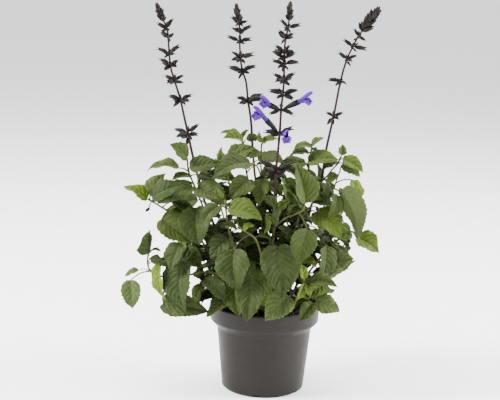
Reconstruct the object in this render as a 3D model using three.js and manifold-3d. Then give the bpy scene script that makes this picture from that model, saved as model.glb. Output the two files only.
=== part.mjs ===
// A flowering perennial salvia in its round nursery pot.
// Millimetres, +Z up. The origin is the middle of the pot's underside, and the plant's front faces -Y.
// Every stem, leaf, calyx and petal is placed once in the tables below and grown by the rules after them.
import * as THREE from "three";
import { mergeVertices } from "three/addons/utils/BufferGeometryUtils.js";
import Module from "manifold-3d";

const wasm = await Module();
wasm.setup();

// ---------------------------------------------------------------- driving sizes
const POT_HEIGHT = 150;
const RIM_RADIUS = 95;
const RIM_BAND_FOOT = 122.5;
const SHOULDER_RADIUS = 81.5;
const SHOULDER_FOOT = 109;
const BASE_RADIUS = 71.2;
const POT_WALL = 1.7;
const POT_FLOOR = 2.5;
const POT_SIDES = 24;
const DRAIN_HOLE_RADIUS = 5;
const DRAIN_HOLE_CIRCLE = 38;
const DRAIN_SLOTS = 6;
const SLOT_BOX = [11, 12, 9];
const SLOT_HEIGHT = 0.4;
const SOIL_TOP = 138;
const SOIL_LUMPS = 1.4;
const SMOOTH_SOIL_EDGE = 10;
const SEAT_GAP = 0.4;
const STEM_FOOT = 112;
const LEAF_THICKNESS = 1.7;
const STEM_SIDES = 4;
const TWIG_SIDES = 3;
const LONG_STALK = 36;
const ROOT_GIRTH = 0.45;
const STALK_GIRTHS = [0.5, 1.2];
const STALK_KEEL = 1.6;
const LONG_BLADE = 72;
const MIDDLING_BLADE = 50;
const PARTNER_DROP = 1.2;
const CALYX_ROOT = 0.5;
const SHUT_BUD = 14;
const CALYX_FATNESS = 0.165;
const CALYX_FAN = [0, 46, -46, 80];
const WHORL_STEP = 1.4;
const DEEP_CALYX_LIFTS = [5, 30];
const DEEP_CALYX_LENGTHS = [13, 16];
const BUD_FATNESS = 0.25;
const BUD_LENGTHS = [8, 11];
const BUD_SPREADS = [0.35, 0.75];
const GOLDEN_TURN = 2.4;
const SPIKE_STEM_RADII = [2.2, 1.2];
const CUP_RADII = [0.8, 3.4, 4.6];
const TUBE_RADII = [4, 4.4, 4.6, 4.5];
const HOOD_RADII = [3.6, 3.1, 1.6];
const HOOD_ARCH = 0.12;
const LIP_RADII = [2.8, 3.4, 4.8, 3.6];
const LIP_FLATNESS = 0.4;
const BRACT_SIDES = 6;
const BRACT_TIERS = [[0, 4.6], [0.24, 5.4], [0.5, 4.6], [0.74, 3]];
const CLEAR_OF_OTHERS = 5.5;
const CLEAR_OF_OWN = 3;
const CLEAR_OF_RIM = 4;
const NEAR_ROOT = 14;

// A leaf's form. Each leaf draws its own number between the two given: the slope of its sides up from the
// midrib, and the height of its arch, the height of its margin's waves and the reach of its base's corners,
// as shares of its length.
const FOLD = [0.14, 0.42];
const ARCH = [0.05, 0.12];
const WAVE = [0.015, 0.04];
const LOBE = [0.04, 0.1];
const LOBE_SPAN = 0.1;
const BLADE_FULLNESS = 2.6;
const MARGIN_WAVES = 13;
const STALK_BEND = 0.12;

// ---------------------------------------------------------------- finishes
const DARK = 0;
const MID = 1;
const LIGHT = 2;
const YOUNG = 3;
const GREY = 4;
const PAIR = 1;
const ALONE = 0;
const FINISHES = {
  pot: new THREE.MeshStandardMaterial({ color: 0x5a534f, roughness: 0.55, metalness: 0 }),
  soil: new THREE.MeshStandardMaterial({ color: 0x1d1815, roughness: 0.95, metalness: 0 }),
  foliage: new THREE.MeshStandardMaterial({ color: 0x5c7440, roughness: 0.6, metalness: 0 }),
  calyx: new THREE.MeshStandardMaterial({ color: 0x3a3034, roughness: 0.7, metalness: 0 }),
  corolla: new THREE.MeshStandardMaterial({ color: 0x7a5bc4, roughness: 0.5, metalness: 0 }),
};

// ---------------------------------------------------------------- stems and leaves
// A route runs from the stem's foot in the soil, or from inside the stem that it branches from, to its tip.
// radius: the half diagonal of the square stem at its foot and at its tip.
// filler: how many pairs of leaves the rule of growth adds along the stem.
// A leaf: the blade's base x, y, z, its tip x, y, z, its width, the turn of its face in degrees,
// its tone, and whether the rule adds the second leaf of its pair across the stem.
// buds: a cluster of dark flower buds at the stem's tip, the point it reaches, and how many buds it has.
const STEMS = [
  {
    node: "stem_3",
    route: [[8, -30, 112], [8, -30, 146], [10, -46, 271], [11, -54, 329], [12, -56, 348]],
    radius: [2.8, 2.3],
    filler: 1,
    leaves: [
      [16, -96, 270, 26, -128, 192, 69, 0, MID, PAIR],
      [13, -62, 329, -11, -70, 348, 24, 0, LIGHT, ALONE],
      [18, -62, 327, 36, -66, 344, 18, 0, LIGHT, ALONE],
      [-3, -70, 320, -3, -78, 287, 23, -60, LIGHT, ALONE],
      [14, -66, 299, 21, -70, 334, 21, -50, YOUNG, ALONE],
      [-2, -60, 268, -40, -80, 266, 29, 20, DARK, ALONE],
    ],
  },
  {
    node: "stem_3",
    route: [[10, -48, 292], [28, -62, 311], [48, -75, 323], [57, -82, 330], [58, -84, 338]],
    radius: [1.6, 1.5],
    filler: 0,
    leaves: [
      [61, -84, 343, 45, -78, 406, 47, -10, LIGHT, ALONE],
      [52, -88, 336, 19, -94, 375, 30, 10, MID, ALONE],
      [64, -92, 299, 51, -106, 245, 45, 0, MID, ALONE],
    ],
  },
  {
    node: "stem_3",
    route: [[57, -82, 331], [66, -81, 335], [74, -80, 336]],
    radius: [0.9, 1.1],
    filler: 0,
    buds: ["bud_cluster_1", [83, -80, 329], 2],
    leaves: [],
  },
  {
    node: "shoot_centre_front",
    route: [
      [-12, -52, 112], [-12, -52, 146], [-8, -70, 238], [-19, -85, 278],
      [-36, -92, 293], [-47, -96, 302], [-50, -97, 310],
    ],
    radius: [2.4, 1.5],
    filler: 1,
    leaves: [
      [-51, -98, 300, -77, -104, 305, 18, 10, LIGHT, ALONE],
      [-41, -100, 299, -23, -106, 308, 15, 0, YOUNG, ALONE],
      [-54, -112, 268, -47, -130, 202, 58, 0, MID, PAIR],
      [-25, -110, 222, -31, -132, 151, 47, 0, DARK, PAIR],
      [-1, -78, 230, -4, -96, 166, 44, 0, DARK, ALONE],
    ],
  },
  {
    node: "shoot_right_front",
    route: [[46, -50, 112], [46, -50, 146], [51, -75, 176], [58, -92, 197], [62, -98, 211], [62, -99, 220]],
    radius: [2.3, 1.5],
    filler: 0,
    leaves: [
      [38, -112, 190, 0, -130, 152, 47, 0, LIGHT, ALONE],
      [77, -98, 177, 57, -110, 149, 25, 0, GREY, ALONE],
      [69, -104, 213, 118, -102, 207, 29, 0, YOUNG, ALONE],
      [62, -100, 218, 55, -96, 244, 19, 0, YOUNG, ALONE],
      [62, -106, 210, 52, -122, 188, 18, -30, YOUNG, ALONE],
      [67, -108, 210, 72, -118, 193, 14, 0, YOUNG, ALONE],
    ],
  },
  {
    node: "shoot_right_front",
    route: [[61, -97, 209], [56, -100, 206], [51, -101, 203]],
    radius: [0.9, 1.1],
    filler: 0,
    buds: ["bud_cluster_2", [38, -102, 191], 3],
    leaves: [],
  },
  {
    node: "shoot_centre_left",
    route: [
      [-30, -48, 112], [-30, -48, 146], [-48, -66, 236],
      [-64, -80, 293], [-70, -86, 331], [-72, -86, 344],
    ],
    radius: [2.3, 1.5],
    filler: 1,
    leaves: [
      [-64, -98, 332, -9, -104, 319, 43, 0, LIGHT, ALONE],
      [-81, -88, 334, -106, -96, 308, 29, -20, MID, ALONE],
      [-65, -84, 280, -94, -98, 249, 35, -30, DARK, PAIR],
      [-77, -84, 344, -87, -80, 363, 15, 0, LIGHT, ALONE],
      [-59, -80, 177, -98, -96, 148, 34, 0, DARK, ALONE],
      [-50, -74, 200, -42, -92, 150, 38, 0, DARK, ALONE],
    ],
  },
  {
    node: "shoot_centre_left",
    route: [[-70, -86, 330], [-75, -90, 334], [-79, -93, 331]],
    radius: [0.9, 1.1],
    filler: 0,
    buds: ["bud_cluster_3", [-84, -94, 314], 3],
    leaves: [],
  },
  {
    node: "shoot_left_low",
    route: [
      [-66, -38, 112], [-66, -38, 146], [-81, -52, 209], [-106, -54, 214], [-136, -56, 207],
      [-170, -56, 204], [-194, -54, 213], [-200, -52, 228], [-199, -50, 240],
    ],
    radius: [2.5, 1.5],
    filler: 0,
    leaves: [
      [-195, -50, 245, -197, -66, 287, 50, -10, MID, ALONE],
      [-227, -60, 198, -224, -66, 149, 34, -60, GREY, ALONE],
      [-215, -46, 212, -240, -40, 199, 13, -30, LIGHT, ALONE],
      [-136, -72, 235, -134, -96, 157, 62, -10, DARK, ALONE],
      [-178, -64, 226, -168, -72, 168, 36, 0, YOUNG, ALONE],
      [-172, -62, 160, -94, -76, 151, 42, 45, MID, ALONE],
      [-102, -78, 206, -65, -100, 174, 31, -20, MID, ALONE],
      [-83, -92, 190, -55, -112, 152, 33, 0, DARK, ALONE],
      [-103, -44, 192, -113, -52, 152, 34, 0, DARK, ALONE],
      [-152, -40, 216, -171, -30, 245, 25, 0, DARK, ALONE],
      [-194, -50, 236, -165, -56, 223, 20, 0, LIGHT, ALONE],
    ],
  },
  {
    node: "shoot_left_low",
    route: [[-199, -53, 222], [-194, -55, 229], [-188, -56, 232]],
    radius: [0.9, 1.1],
    filler: 0,
    buds: ["bud_cluster_4", [-163, -57, 232], 4],
    leaves: [],
  },
  {
    node: "shoot_left_high",
    route: [
      [-62, -10, 112], [-62, -10, 146], [-87, -20, 224], [-130, -40, 286],
      [-160, -50, 311], [-180, -52, 324], [-201, -52, 336],
    ],
    radius: [2.5, 1.5],
    filler: 0,
    leaves: [
      [-197, -50, 341, -174, -44, 380, 37, 30, DARK, ALONE],
      [-202, -56, 336, -239, -60, 359, 29, -20, LIGHT, ALONE],
      [-192, -58, 340, -141, -62, 365, 39, 30, DARK, ALONE],
      [-176, -64, 305, -124, -80, 269, 54, 0, MID, ALONE],
      [-169, -38, 312, -131, -22, 296, 31, 60, DARK, ALONE],
      [-133, -40, 255, -108, -46, 217, 32, 0, DARK, ALONE],
      [-143, -48, 262, -160, -56, 215, 40, -20, MID, ALONE],
      [-108, -30, 253, -140, -44, 219, 34, 0, DARK, ALONE],
    ],
  },
  {
    node: "shoot_left_high",
    route: [[-193, -52, 332], [-196, -55, 330], [-197, -57, 326]],
    radius: [0.9, 1.1],
    filler: 0,
    buds: ["bud_cluster_5", [-202, -57, 315], 2],
    leaves: [],
  },
  {
    node: "shoot_left_top",
    route: [
      [-48, -22, 112], [-48, -22, 146], [-88, -30, 264], [-109, -38, 322],
      [-121, -40, 351], [-134, -42, 382], [-137, -44, 405],
    ],
    radius: [2.4, 1.5],
    filler: 1,
    leaves: [
      [-137, -46, 406, -165, -58, 430, 32, -70, LIGHT, ALONE],
      [-132, -50, 391, -80, -50, 400, 35, 30, MID, ALONE],
      [-150, -50, 389, -202, -56, 389, 31, -10, MID, ALONE],
      [-143, -36, 407, -157, -26, 412, 14, 0, MID, ALONE],
      [-131, -50, 375, -161, -62, 371, 26, -10, MID, ALONE],
      [-119, -54, 357, -67, -76, 334, 44, 0, LIGHT, ALONE],
      [-118, -62, 325, -113, -86, 266, 55, -30, DARK, PAIR],
      [-127, -40, 356, -185, -52, 328, 38, -45, LIGHT, ALONE],
    ],
  },
  {
    node: "shoot_top_right",
    route: [
      [34, -14, 112], [34, -14, 146], [40, -16, 248], [55, -18, 318],
      [65, -18, 370], [68, -16, 404], [71, -15, 426],
    ],
    radius: [2.4, 1.5],
    filler: 1,
    leaves: [
      [71, -16, 428, 90, -16, 444, 15, 0, LIGHT, ALONE],
      [71, -16, 428, 39, -24, 423, 21, 0, LIGHT, ALONE],
      [66, -20, 418, 34, -32, 415, 21, 0, MID, ALONE],
      [71, -18, 424, 79, -24, 417, 10, 40, MID, ALONE],
      [65, -24, 403, 116, -34, 411, 40, 30, DARK, ALONE],
      [62, -24, 400, 11, -40, 389, 36, 0, MID, ALONE],
      [58, -26, 354, 90, -40, 340, 30, 40, MID, PAIR],
      [27, -30, 374, 37, -50, 324, 39, 0, DARK, ALONE],
      [58, 20, 363, 18, 30, 385, 34, -45, DARK, ALONE],
    ],
  },
  {
    node: "stem_4",
    route: [[40, 8, 112], [40, 8, 146], [62, 4, 279], [78, 0, 334], [89, -2, 368]],
    radius: [2.7, 2.3],
    filler: 1,
    leaves: [
      [76, -28, 332, 117, -44, 325, 27, 20, LIGHT, ALONE],
      [81, -24, 316, 124, -52, 279, 48, 40, DARK, PAIR],
      [50, -6, 253, 9, -30, 243, 37, -10, DARK, PAIR],
      [81, 0, 360, 81, 0, 403, 34, 0, MID, ALONE],
    ],
  },
  {
    node: "stem_4",
    route: [[87, -2, 361], [99, -6, 376], [108, -10, 389], [116, -12, 399], [121, -14, 412]],
    radius: [1.5, 1.5],
    filler: 0,
    leaves: [
      [124, -18, 407, 159, -24, 388, 28, 40, LIGHT, ALONE],
      [122, -14, 413, 123, -12, 432, 15, -60, LIGHT, ALONE],
      [114, -12, 403, 89, -22, 388, 23, 0, MID, ALONE],
      [126, -10, 398, 151, 4, 406, 22, 0, MID, ALONE],
    ],
  },
  {
    node: "stem_4",
    route: [[87, -2, 359], [101, -10, 357], [111, -16, 356], [121, -22, 352], [129, -26, 344]],
    radius: [1.5, 1.5],
    filler: 0,
    leaves: [
      [123, -32, 359, 156, -44, 276, 46, -75, GREY, ALONE],
      [114, -30, 348, 100, -40, 308, 30, 0, DARK, ALONE],
      [107, 0, 358, 83, -8, 339, 26, -45, MID, ALONE],
    ],
  },
  {
    node: "stem_4",
    route: [[111, -16, 356], [115, -18, 373], [119, -20, 385], [121, -20, 396]],
    radius: [1.3, 1.1],
    filler: 0,
    leaves: [
      [143, -26, 373, 148, -32, 327, 35, 30, YOUNG, ALONE],
      [114, -24, 382, 96, -34, 367, 16, 0, MID, ALONE],
      [121, -20, 397, 155, -20, 378, 20, 60, LIGHT, ALONE],
    ],
  },
  {
    node: "shoot_right_low",
    route: [
      [60, -10, 112], [60, -10, 146], [67, -20, 197], [94, -30, 242],
      [120, -34, 271], [139, -36, 286], [148, -36, 285],
    ],
    radius: [2.4, 1.5],
    filler: 1,
    leaves: [
      [142, -40, 287, 105, -52, 282, 33, -30, MID, ALONE],
      [150, -40, 277, 189, -46, 253, 38, 40, MID, ALONE],
      [98, -60, 266, 93, -72, 209, 42, 0, GREY, ALONE],
      [106, -58, 238, 146, -66, 247, 40, 40, DARK, ALONE],
      [85, -72, 176, 125, -80, 160, 35, 40, MID, ALONE],
      [120, -30, 258, 136, -14, 222, 25, 60, DARK, ALONE],
      [105, -20, 202, 149, -30, 238, 32, -60, MID, ALONE],
      [98, -50, 198, 65, -66, 177, 30, 0, LIGHT, ALONE],
    ],
  },
  {
    node: "shoot_right_low",
    route: [[101, -32, 252], [96, -42, 266], [94, -46, 280]],
    radius: [1.0, 1.1],
    filler: 0,
    buds: ["bud_cluster_6", [108, -52, 284], 3],
    leaves: [],
  },
  {
    node: "shoot_right_low",
    route: [[96, -31, 245], [96, -50, 240], [93, -68, 234]],
    radius: [1.0, 1.1],
    filler: 0,
    buds: ["bud_cluster_7", [76, -80, 221], 4],
    leaves: [],
  },
  {
    node: "stem_1",
    route: [[-36, 3, 112], [-36, 3, 146], [-62, 2, 209], [-84, 0, 267], [-111, -5, 335], [-124, -8, 383]],
    radius: [2.7, 2.3],
    filler: 2,
    leaves: [
      [-104, -28, 370, -51, -46, 367, 37, 10, DARK, PAIR],
      [-120, -16, 330, -162, -14, 307, 38, -40, DARK, PAIR],
      [-76, -12, 243, -34, -30, 228, 36, 10, DARK, PAIR],
      [-66, 0, 295, -95, -10, 268, 30, 0, DARK, ALONE],
      [-93, 0, 385, -123, -14, 358, 26, 0, MID, ALONE],
    ],
  },
  {
    node: "stem_2",
    route: [[8, 24, 112], [8, 24, 146], [4, 28, 219], [-13, 36, 314], [-23, 42, 363], [-28, 45, 406]],
    radius: [2.7, 2.2],
    filler: 2,
    leaves: [
      [-11, 36, 362, 30, 30, 375, 36, 70, MID, PAIR],
      [-20, 32, 324, -54, 40, 296, 36, -70, DARK, PAIR],
      [-19, 44, 392, 5, 40, 404, 20, 70, LIGHT, PAIR],
    ],
  },
  {
    node: "shoot_top_left",
    route: [
      [-22, -8, 112], [-22, -8, 146], [-39, -20, 264],
      [-58, -30, 334], [-70, -34, 377], [-75, -34, 399],
    ],
    radius: [2.3, 1.5],
    filler: 1,
    leaves: [
      [-74, -36, 398, -81, -40, 425, 20, 30, LIGHT, ALONE],
      [-67, -38, 398, -25, -44, 427, 37, 30, MID, ALONE],
      [-79, -40, 386, -102, -44, 403, 21, -20, MID, ALONE],
      [-61, -40, 353, -90, -54, 327, 33, -40, DARK, PAIR],
    ],
  },
  {
    node: "shoot_top_middle",
    route: [
      [20, -8, 112], [20, -8, 146], [2, -10, 263], [-7, -5, 348],
      [-14, 0, 390], [-14, 0, 416], [-13, 0, 428],
    ],
    radius: [2.3, 1.5],
    filler: 1,
    leaves: [
      [-11, 0, 430, -19, 0, 448, 15, 40, LIGHT, ALONE],
      [-13, -2, 428, 14, -6, 438, 20, 20, LIGHT, ALONE],
      [-31, -18, 394, -92, -50, 377, 50, 0, DARK, ALONE],
      [-11, -6, 408, 25, -24, 399, 27, 0, MID, ALONE],
      [-16, -4, 413, -34, -16, 404, 18, -50, MID, ALONE],
      [-1, -24, 365, 24, -44, 346, 27, 0, MID, PAIR],
      [-11, -20, 368, -17, -46, 328, 30, 0, MID, ALONE],
      [20, 10, 303, 52, 0, 274, 34, 0, DARK, ALONE],
    ],
  },
  {
    node: "shoot_top_centre",
    route: [
      [-6, 10, 112], [-6, 10, 146], [-18, 8, 258], [-27, 12, 336],
      [-37, 16, 370], [-45, 18, 412], [-47, 18, 431],
    ],
    radius: [2.3, 1.5],
    filler: 1,
    leaves: [
      [-49, 18, 433, -84, 14, 443, 26, -40, LIGHT, ALONE],
      [-45, 16, 427, -79, 6, 434, 28, -40, LIGHT, ALONE],
      [-47, 18, 433, -37, 20, 448, 12, 50, LIGHT, ALONE],
      [-40, 18, 432, -15, 14, 433, 19, -40, GREY, ALONE],
      [-32, -14, 366, -66, -44, 338, 39, -30, DARK, ALONE],
      [-40, 12, 410, -56, -4, 398, 20, -70, MID, PAIR],
      [-20, 20, 387, 27, 10, 393, 20, 0, MID, ALONE],
    ],
  },
  {
    node: "shoot_back_left",
    route: [[-30, 40, 112], [-30, 40, 146], [-52, 68, 220], [-80, 92, 290], [-96, 104, 348]],
    radius: [2.5, 1.5],
    filler: 4,
    leaves: [],
  },
  {
    node: "shoot_back_middle",
    route: [[6, 56, 112], [6, 56, 146], [12, 88, 225], [14, 112, 300], [10, 122, 360]],
    radius: [2.5, 1.5],
    filler: 4,
    leaves: [],
  },
  {
    node: "shoot_back_right",
    route: [[48, 40, 112], [48, 40, 146], [74, 66, 215], [100, 84, 280], [116, 94, 338]],
    radius: [2.5, 1.5],
    filler: 4,
    leaves: [],
  },
  {
    node: "shoot_back_low_left",
    route: [[-58, 24, 112], [-58, 24, 146], [-88, 50, 196], [-124, 72, 232], [-150, 84, 262]],
    radius: [2.4, 1.5],
    filler: 3,
    leaves: [],
  },
  {
    node: "shoot_back_low_right",
    route: [[66, 16, 112], [66, 16, 146], [96, 40, 190], [124, 56, 218], [142, 64, 250]],
    radius: [2.4, 1.5],
    filler: 3,
    leaves: [],
  },
  {
    node: "shoot_back_low",
    route: [[28, 66, 112], [28, 66, 146], [34, 96, 184], [46, 124, 206], [52, 140, 236]],
    radius: [2.3, 1.5],
    filler: 2,
    leaves: [],
  },];

// ---------------------------------------------------------------- flower spikes
// A route runs from the top of the leafy stem to the tip. Each whorl: its height, then the calyces on its
// left and on its right, each with the angle that it rises at and its length. A flower: the calyx's mouth,
// the throat of its corolla, and the tips of its hood and its lower lip.
const SPIKES = [
  {
    node: "spike_1",
    stem: "stem_1",
    route: [
      [-132, -10, 415], [-138, -12, 442], [-144, -14, 467], [-152, -17, 501], [-161, -20, 529],
      [-168, -22, 552], [-171, -24, 576], [-173, -26, 601], [-175, -27, 617], [-182, -28, 632],
    ],
    tip: [-193, -30, 657],
    whorls: [
      [443, [[12, 20], [-6, 22], [-24, 18], [-62, 15]], [[38, 20], [-8, 19]]],
      [500, [[16, 19], [-4, 18], [-28, 15]], [[24, 18], [2, 18], [-30, 12]]],
      [531, [[26, 17], [4, 17], [-22, 12]], [[34, 15], [-6, 15]]],
      [557, [[26, 18], [10, 20], [-14, 14]], [[30, 14], [0, 15]]],
      [576, [[22, 18], [-24, 10]], [[38, 19], [8, 11]]],
      [603, [[38, 14], [26, 17]], [[40, 10], [32, 14]]],
      [617, [[28, 17], [60, 8]], [[60, 17]]],
    ],
    flowers: [],
  },
  {
    node: "spike_2",
    stem: "stem_2",
    route: [
      [-32, 47, 452], [-35, 48, 473], [-39, 50, 494], [-43, 51, 525], [-50, 53, 545],
      [-54, 55, 567], [-56, 57, 595], [-56, 58, 611], [-59, 60, 630],
    ],
    tip: [-64, 60, 657],
    whorls: [
      [494, [[12, 18], [-4, 18], [-24, 14]], [[26, 17], [4, 16], [-20, 13]]],
      [545, [[12, 22], [0, 20], [-42, 13]], [[20, 20], [-6, 14], [50, 11]]],
      [567, [[32, 15], [-3, 19], [-30, 11]], [[16, 21], [-36, 13]]],
      [595, [[20, 19], [-18, 9]], [[10, 18], [30, 10]]],
      [611, [[22, 13], [48, 11]], [[28, 19], [6, 10]]],
      [625, [[42, 16], [14, 10]], [[16, 14], [40, 8]]],
    ],
    flowers: [],
  },
  {
    node: "spike_3",
    stem: "stem_3",
    route: [
      [11, -58, 369], [11, -60, 390], [13, -62, 423], [15, -64, 453], [16, -66, 493], [18, -67, 519],
      [19, -68, 543], [18, -70, 587], [20, -70, 610], [23, -70, 626], [24, -70, 641],
    ],
    tip: [25, -70, 667],
    whorls: [
      [391, [[28, 25], [12, 24], [-28, 20]], [[22, 26], [2, 24], [-16, 18]]],
      [453, [[6, 22], [-8, 17], [-78, 11]], [[26, 20], [8, 17]]],
      [493, [[-22, 18], [8, 11]], [[-22, 19], [-6, 15]]],
      [519, [[10, 21], [-24, 14], [50, 15]], [[16, 21], [-12, 21], [2, 14]]],
      [543, [[24, 17], [2, 18]], [[30, 18], [6, 18], [-20, 13]]],
      [568, [[14, 17], [-22, 14], [-70, 10]], [[8, 20], [-36, 10]]],
      [577, [[28, 18], [2, 12]], [[26, 18]]],
      [587, [[34, 16], [8, 20]], [[50, 13], [10, 19], [-4, 12]]],
      [610, [[46, 15], [32, 18]], [[30, 13], [8, 15]]],
      [626, [[46, 15], [12, 9]], [[16, 18], [56, 9]]],
    ],
    flowers: [
      { node: "corolla_1", from: 493, mouth: [-2, -80, 501], throat: [-9, -84, 508],
        hood: [-19, -88, 516], lip: [-16, -93, 501] },
      { node: "corolla_2", from: 453, mouth: [-6, -76, 475], throat: [-17, -85, 487],
        hood: [-30, -91, 499], lip: [-30, -94, 482] },
      { node: "corolla_3", from: 493, mouth: [42, -77, 507], throat: [51, -82, 512],
        hood: [66, -86, 525], lip: [64, -90, 509] },
      { node: "corolla_4", from: 453, mouth: [21, -81, 456], throat: [25, -92, 455],
        hood: [26, -104, 463], lip: [26, -103, 444] },
    ],
  },
  {
    node: "spike_4",
    stem: "stem_4",
    route: [
      [96, -4, 421], [102, -5, 456], [106, -6, 478], [115, -8, 537], [124, -9, 574],
      [133, -10, 595], [141, -10, 612], [149, -10, 624],
    ],
    tip: [173, -10, 659],
    whorls: [
      [478, [[24, 13], [-32, 17]], [[20, 15], [-16, 13], [-80, 9]]],
      [537, [[4, 18], [40, 9], [-20, 11]], [[-24, 10], [12, 8]]],
      [574, [[38, 16], [80, 9]], [[22, 15], [-4, 13], [-32, 10]]],
      [595, [[36, 17], [52, 9]], [[-8, 20], [-36, 9]]],
      [612, [[60, 13]], [[-28, 13], [10, 10], [36, 9]]],
    ],
    flowers: [],
  },
];

// ---------------------------------------------------------------- rules of growth
// Filler leaves stay inside this dome, and clear of the lines of sight through the gaps in the crown.
const DOME_CENTRE = [-28, 22, 250];
const DOME_RADII = [172, 172, 168];
const FILLER_FRONT = -64;
const CROWN_GAPS = [[-56, 368], [-72, 340], [-34, 378], [-102, 320], [-15, 394], [-121, 337],
  [-146, 378], [-181, 337], [104, 385], [51, 425]];
const CROWN_GAP_RADIUS = 11;
const LINE_OF_SIGHT = [0, 1, -0.186];
const SLIDES = [0, -6, 6, -12, 12, -18, 18, -25, 25, -33, 33, -42, 42, -52, 52];
const LISTED_SIZES = [1, 0.85, 0.7];
const PARTNER_SIZES = [0.95, 0.8, 0.65];
const PARTNER_TURNS = [180, 155, 205, 130, 230];

// A filler leaf: its length low and high on the stem, its width and its stalk's reach out and up as shares
// of its length, and the sizes, droops and swings (radians) that it tries in turn.
const FILLER_LENGTHS = [70, 46];
const FILLER_WIDTH = 0.66;
const FILLER_STALK = [0.32, 0.16];
const FILLER_SIZES = [1, 0.8, 0.6];
const FILLER_DROOPS = [0.35, 0.75, 0, 1.1];
const FILLER_SWINGS = [0, 0.4, -0.4, 0.8, -0.8];
const FILLER_TONES = [DARK, MID, DARK, MID, LIGHT];
const FILLER_SPIRAL = 0.7;

// Draws numbers from 0 to 1, the same on every run.
class Draws {
  constructor(seed) {
    this.state = (seed * 7919 + 104729) % 2147483647;
    this.next();
    this.next();
  }
  next() {
    this.state = (48271 * this.state) % 2147483647;
    return this.state / 2147483647;
  }
  between(low, high) {
    return low + (high - low) * this.next();
  }
}

const vec = (a) => new THREE.Vector3(a[0], a[1], a[2]);
const along = (p, d, length) => p.clone().addScaledVector(d, length);
const UP = new THREE.Vector3(0, 0, 1);

// The part of v that is square to the unit vector d, at unit length.
function squareTo(v, d) {
  return v.clone().addScaledVector(d, -v.dot(d)).normalize();
}

// A point of the smooth curve through four points, at u from 0 to 1 between the middle two.
function splinePoint(p, u) {
  const term = (axis) => {
    const [a, b, c, d] = [p[0][axis], p[1][axis], p[2][axis], p[3][axis]];
    const slope = (c - a) / 2;
    const bend = a - 2.5 * b + 2 * c - 0.5 * d;
    const twist = 1.5 * (b - c) + 0.5 * (d - a);
    return b + slope * u + bend * u * u + twist * u * u * u;
  };
  return new THREE.Vector3(term("x"), term("y"), term("z"));
}

// Points of a smooth curve through a route, about one every step. The first span stays straight if asked.
function smoothRoute(route, step, straightFoot) {
  const p = route.map(vec);
  const before = p[0].clone().multiplyScalar(2).sub(p[1]);
  const after = p.at(-1).clone().multiplyScalar(2).sub(p.at(-2));
  const all = [before, ...p, after];
  const points = [p[0].clone()];
  for (let i = 0; i < p.length - 1; i += 1) {
    const straight = straightFoot && i === 0;
    const pieces = straight ? 1 : Math.max(1, Math.round(p[i].distanceTo(p[i + 1]) / step));
    for (let k = 1; k <= pieces; k += 1) {
      points.push(straight ? p[1].clone() : splinePoint(all.slice(i, i + 4), k / pieces));
    }
  }
  return points;
}

// Points every step or less along straight lines between the given points.
function dotted(points, step) {
  const dots = [points[0].clone()];
  for (let i = 0; i < points.length - 1; i += 1) {
    const pieces = Math.max(1, Math.ceil(points[i].distanceTo(points[i + 1]) / step));
    for (let k = 1; k <= pieces; k += 1) {
      dots.push(points[i].clone().lerp(points[i + 1], k / pieces));
    }
  }
  return dots;
}

// The point of the list nearest to p.
function nearest(points, p) {
  let best = points[0];
  for (const q of points) {
    if (q.distanceToSquared(p) < best.distanceToSquared(p)) {
      best = q;
    }
  }
  return best;
}

// ---------------------------------------------------------------- the leaf
// One leaf's shape: from its table row, with the small differences that its own draws give it.
function makeLeaf(row, index, stem) {
  const draws = new Draws(index);
  const base = vec(row.slice(0, 3));
  const tip = vec(row.slice(3, 6));
  return {
    base,
    tip,
    stem,
    width: row[6],
    turn: row[7],
    tone: row[8],
    fold: draws.between(...FOLD),
    arch: draws.between(...ARCH),
    wave: draws.between(...WAVE),
    phase: draws.between(0, 2 * Math.PI),
    lobe: draws.between(...LOBE),
    index,
  };
}

// The blade's own directions: a along it, n out of its upper face, s to its right, and its length.
function leafFrame(leaf) {
  const a = leaf.tip.clone().sub(leaf.base);
  const length = a.length();
  a.normalize();
  const outward = new THREE.Vector3(leaf.base.x, leaf.base.y, 0).normalize();
  const level = squareTo(along(UP, outward, 0.8), a);
  const side = new THREE.Vector3().crossVectors(a, level);
  const turn = THREE.MathUtils.degToRad(leaf.turn);
  const n = level.multiplyScalar(Math.cos(turn)).addScaledVector(side, Math.sin(turn)).normalize();
  return { a, n, s: new THREE.Vector3().crossVectors(a, n), length };
}

// Half the blade's width at t from 0 at its base to 1 at its tip: full and round low down, then a long point.
function halfWidth(leaf, t) {
  return 0.5 * leaf.width * BLADE_FULLNESS * Math.sqrt(t) * (1 - t);
}

// A point of the blade at t along it and u across it, from -1 to 1. The base's corners sweep back past the
// stalk, the sides fold up from the midrib, the whole blade arches, and its margins wave.
function bladePoint(leaf, frame, t, u) {
  const half = halfWidth(leaf, t);
  const out = Math.abs(u);
  const back = leaf.lobe * frame.length * out * Math.exp(-t / LOBE_SPAN);
  const arch = leaf.arch * frame.length * 4 * t * (1 - t);
  const phase = leaf.phase + (u > 0 ? 2 : 0);
  const wave = leaf.wave * frame.length * out * out * Math.sin(MARGIN_WAVES * t + phase);
  return along(leaf.base, frame.a, t * frame.length - back)
    .addScaledVector(frame.s, u * half)
    .addScaledVector(frame.n, arch + wave + leaf.fold * out * half);
}

// The stalk's bent line from the stem to the blade's base.
function stalkLine(leaf) {
  const root = leaf.root;
  const middle = root.clone().lerp(leaf.base, 0.5);
  middle.z += STALK_BEND * root.distanceTo(leaf.base);
  return [root, middle, leaf.base];
}

// Where the leaf leaves its stem: the nearest point to one a little below the blade's base. Leaves that
// would all start at the stem's very tip start one below the other.
function rootOn(stem, base, order) {
  const level = nearest(stem.dots, base);
  const below = base.clone();
  below.z -= 0.5 * base.distanceTo(level);
  const index = stem.dots.indexOf(nearest(stem.dots, below));
  const last = stem.dots.length - 1;
  return stem.dots[Math.max(1, Math.min(index, last - (order % 4)))].clone();
}

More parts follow.
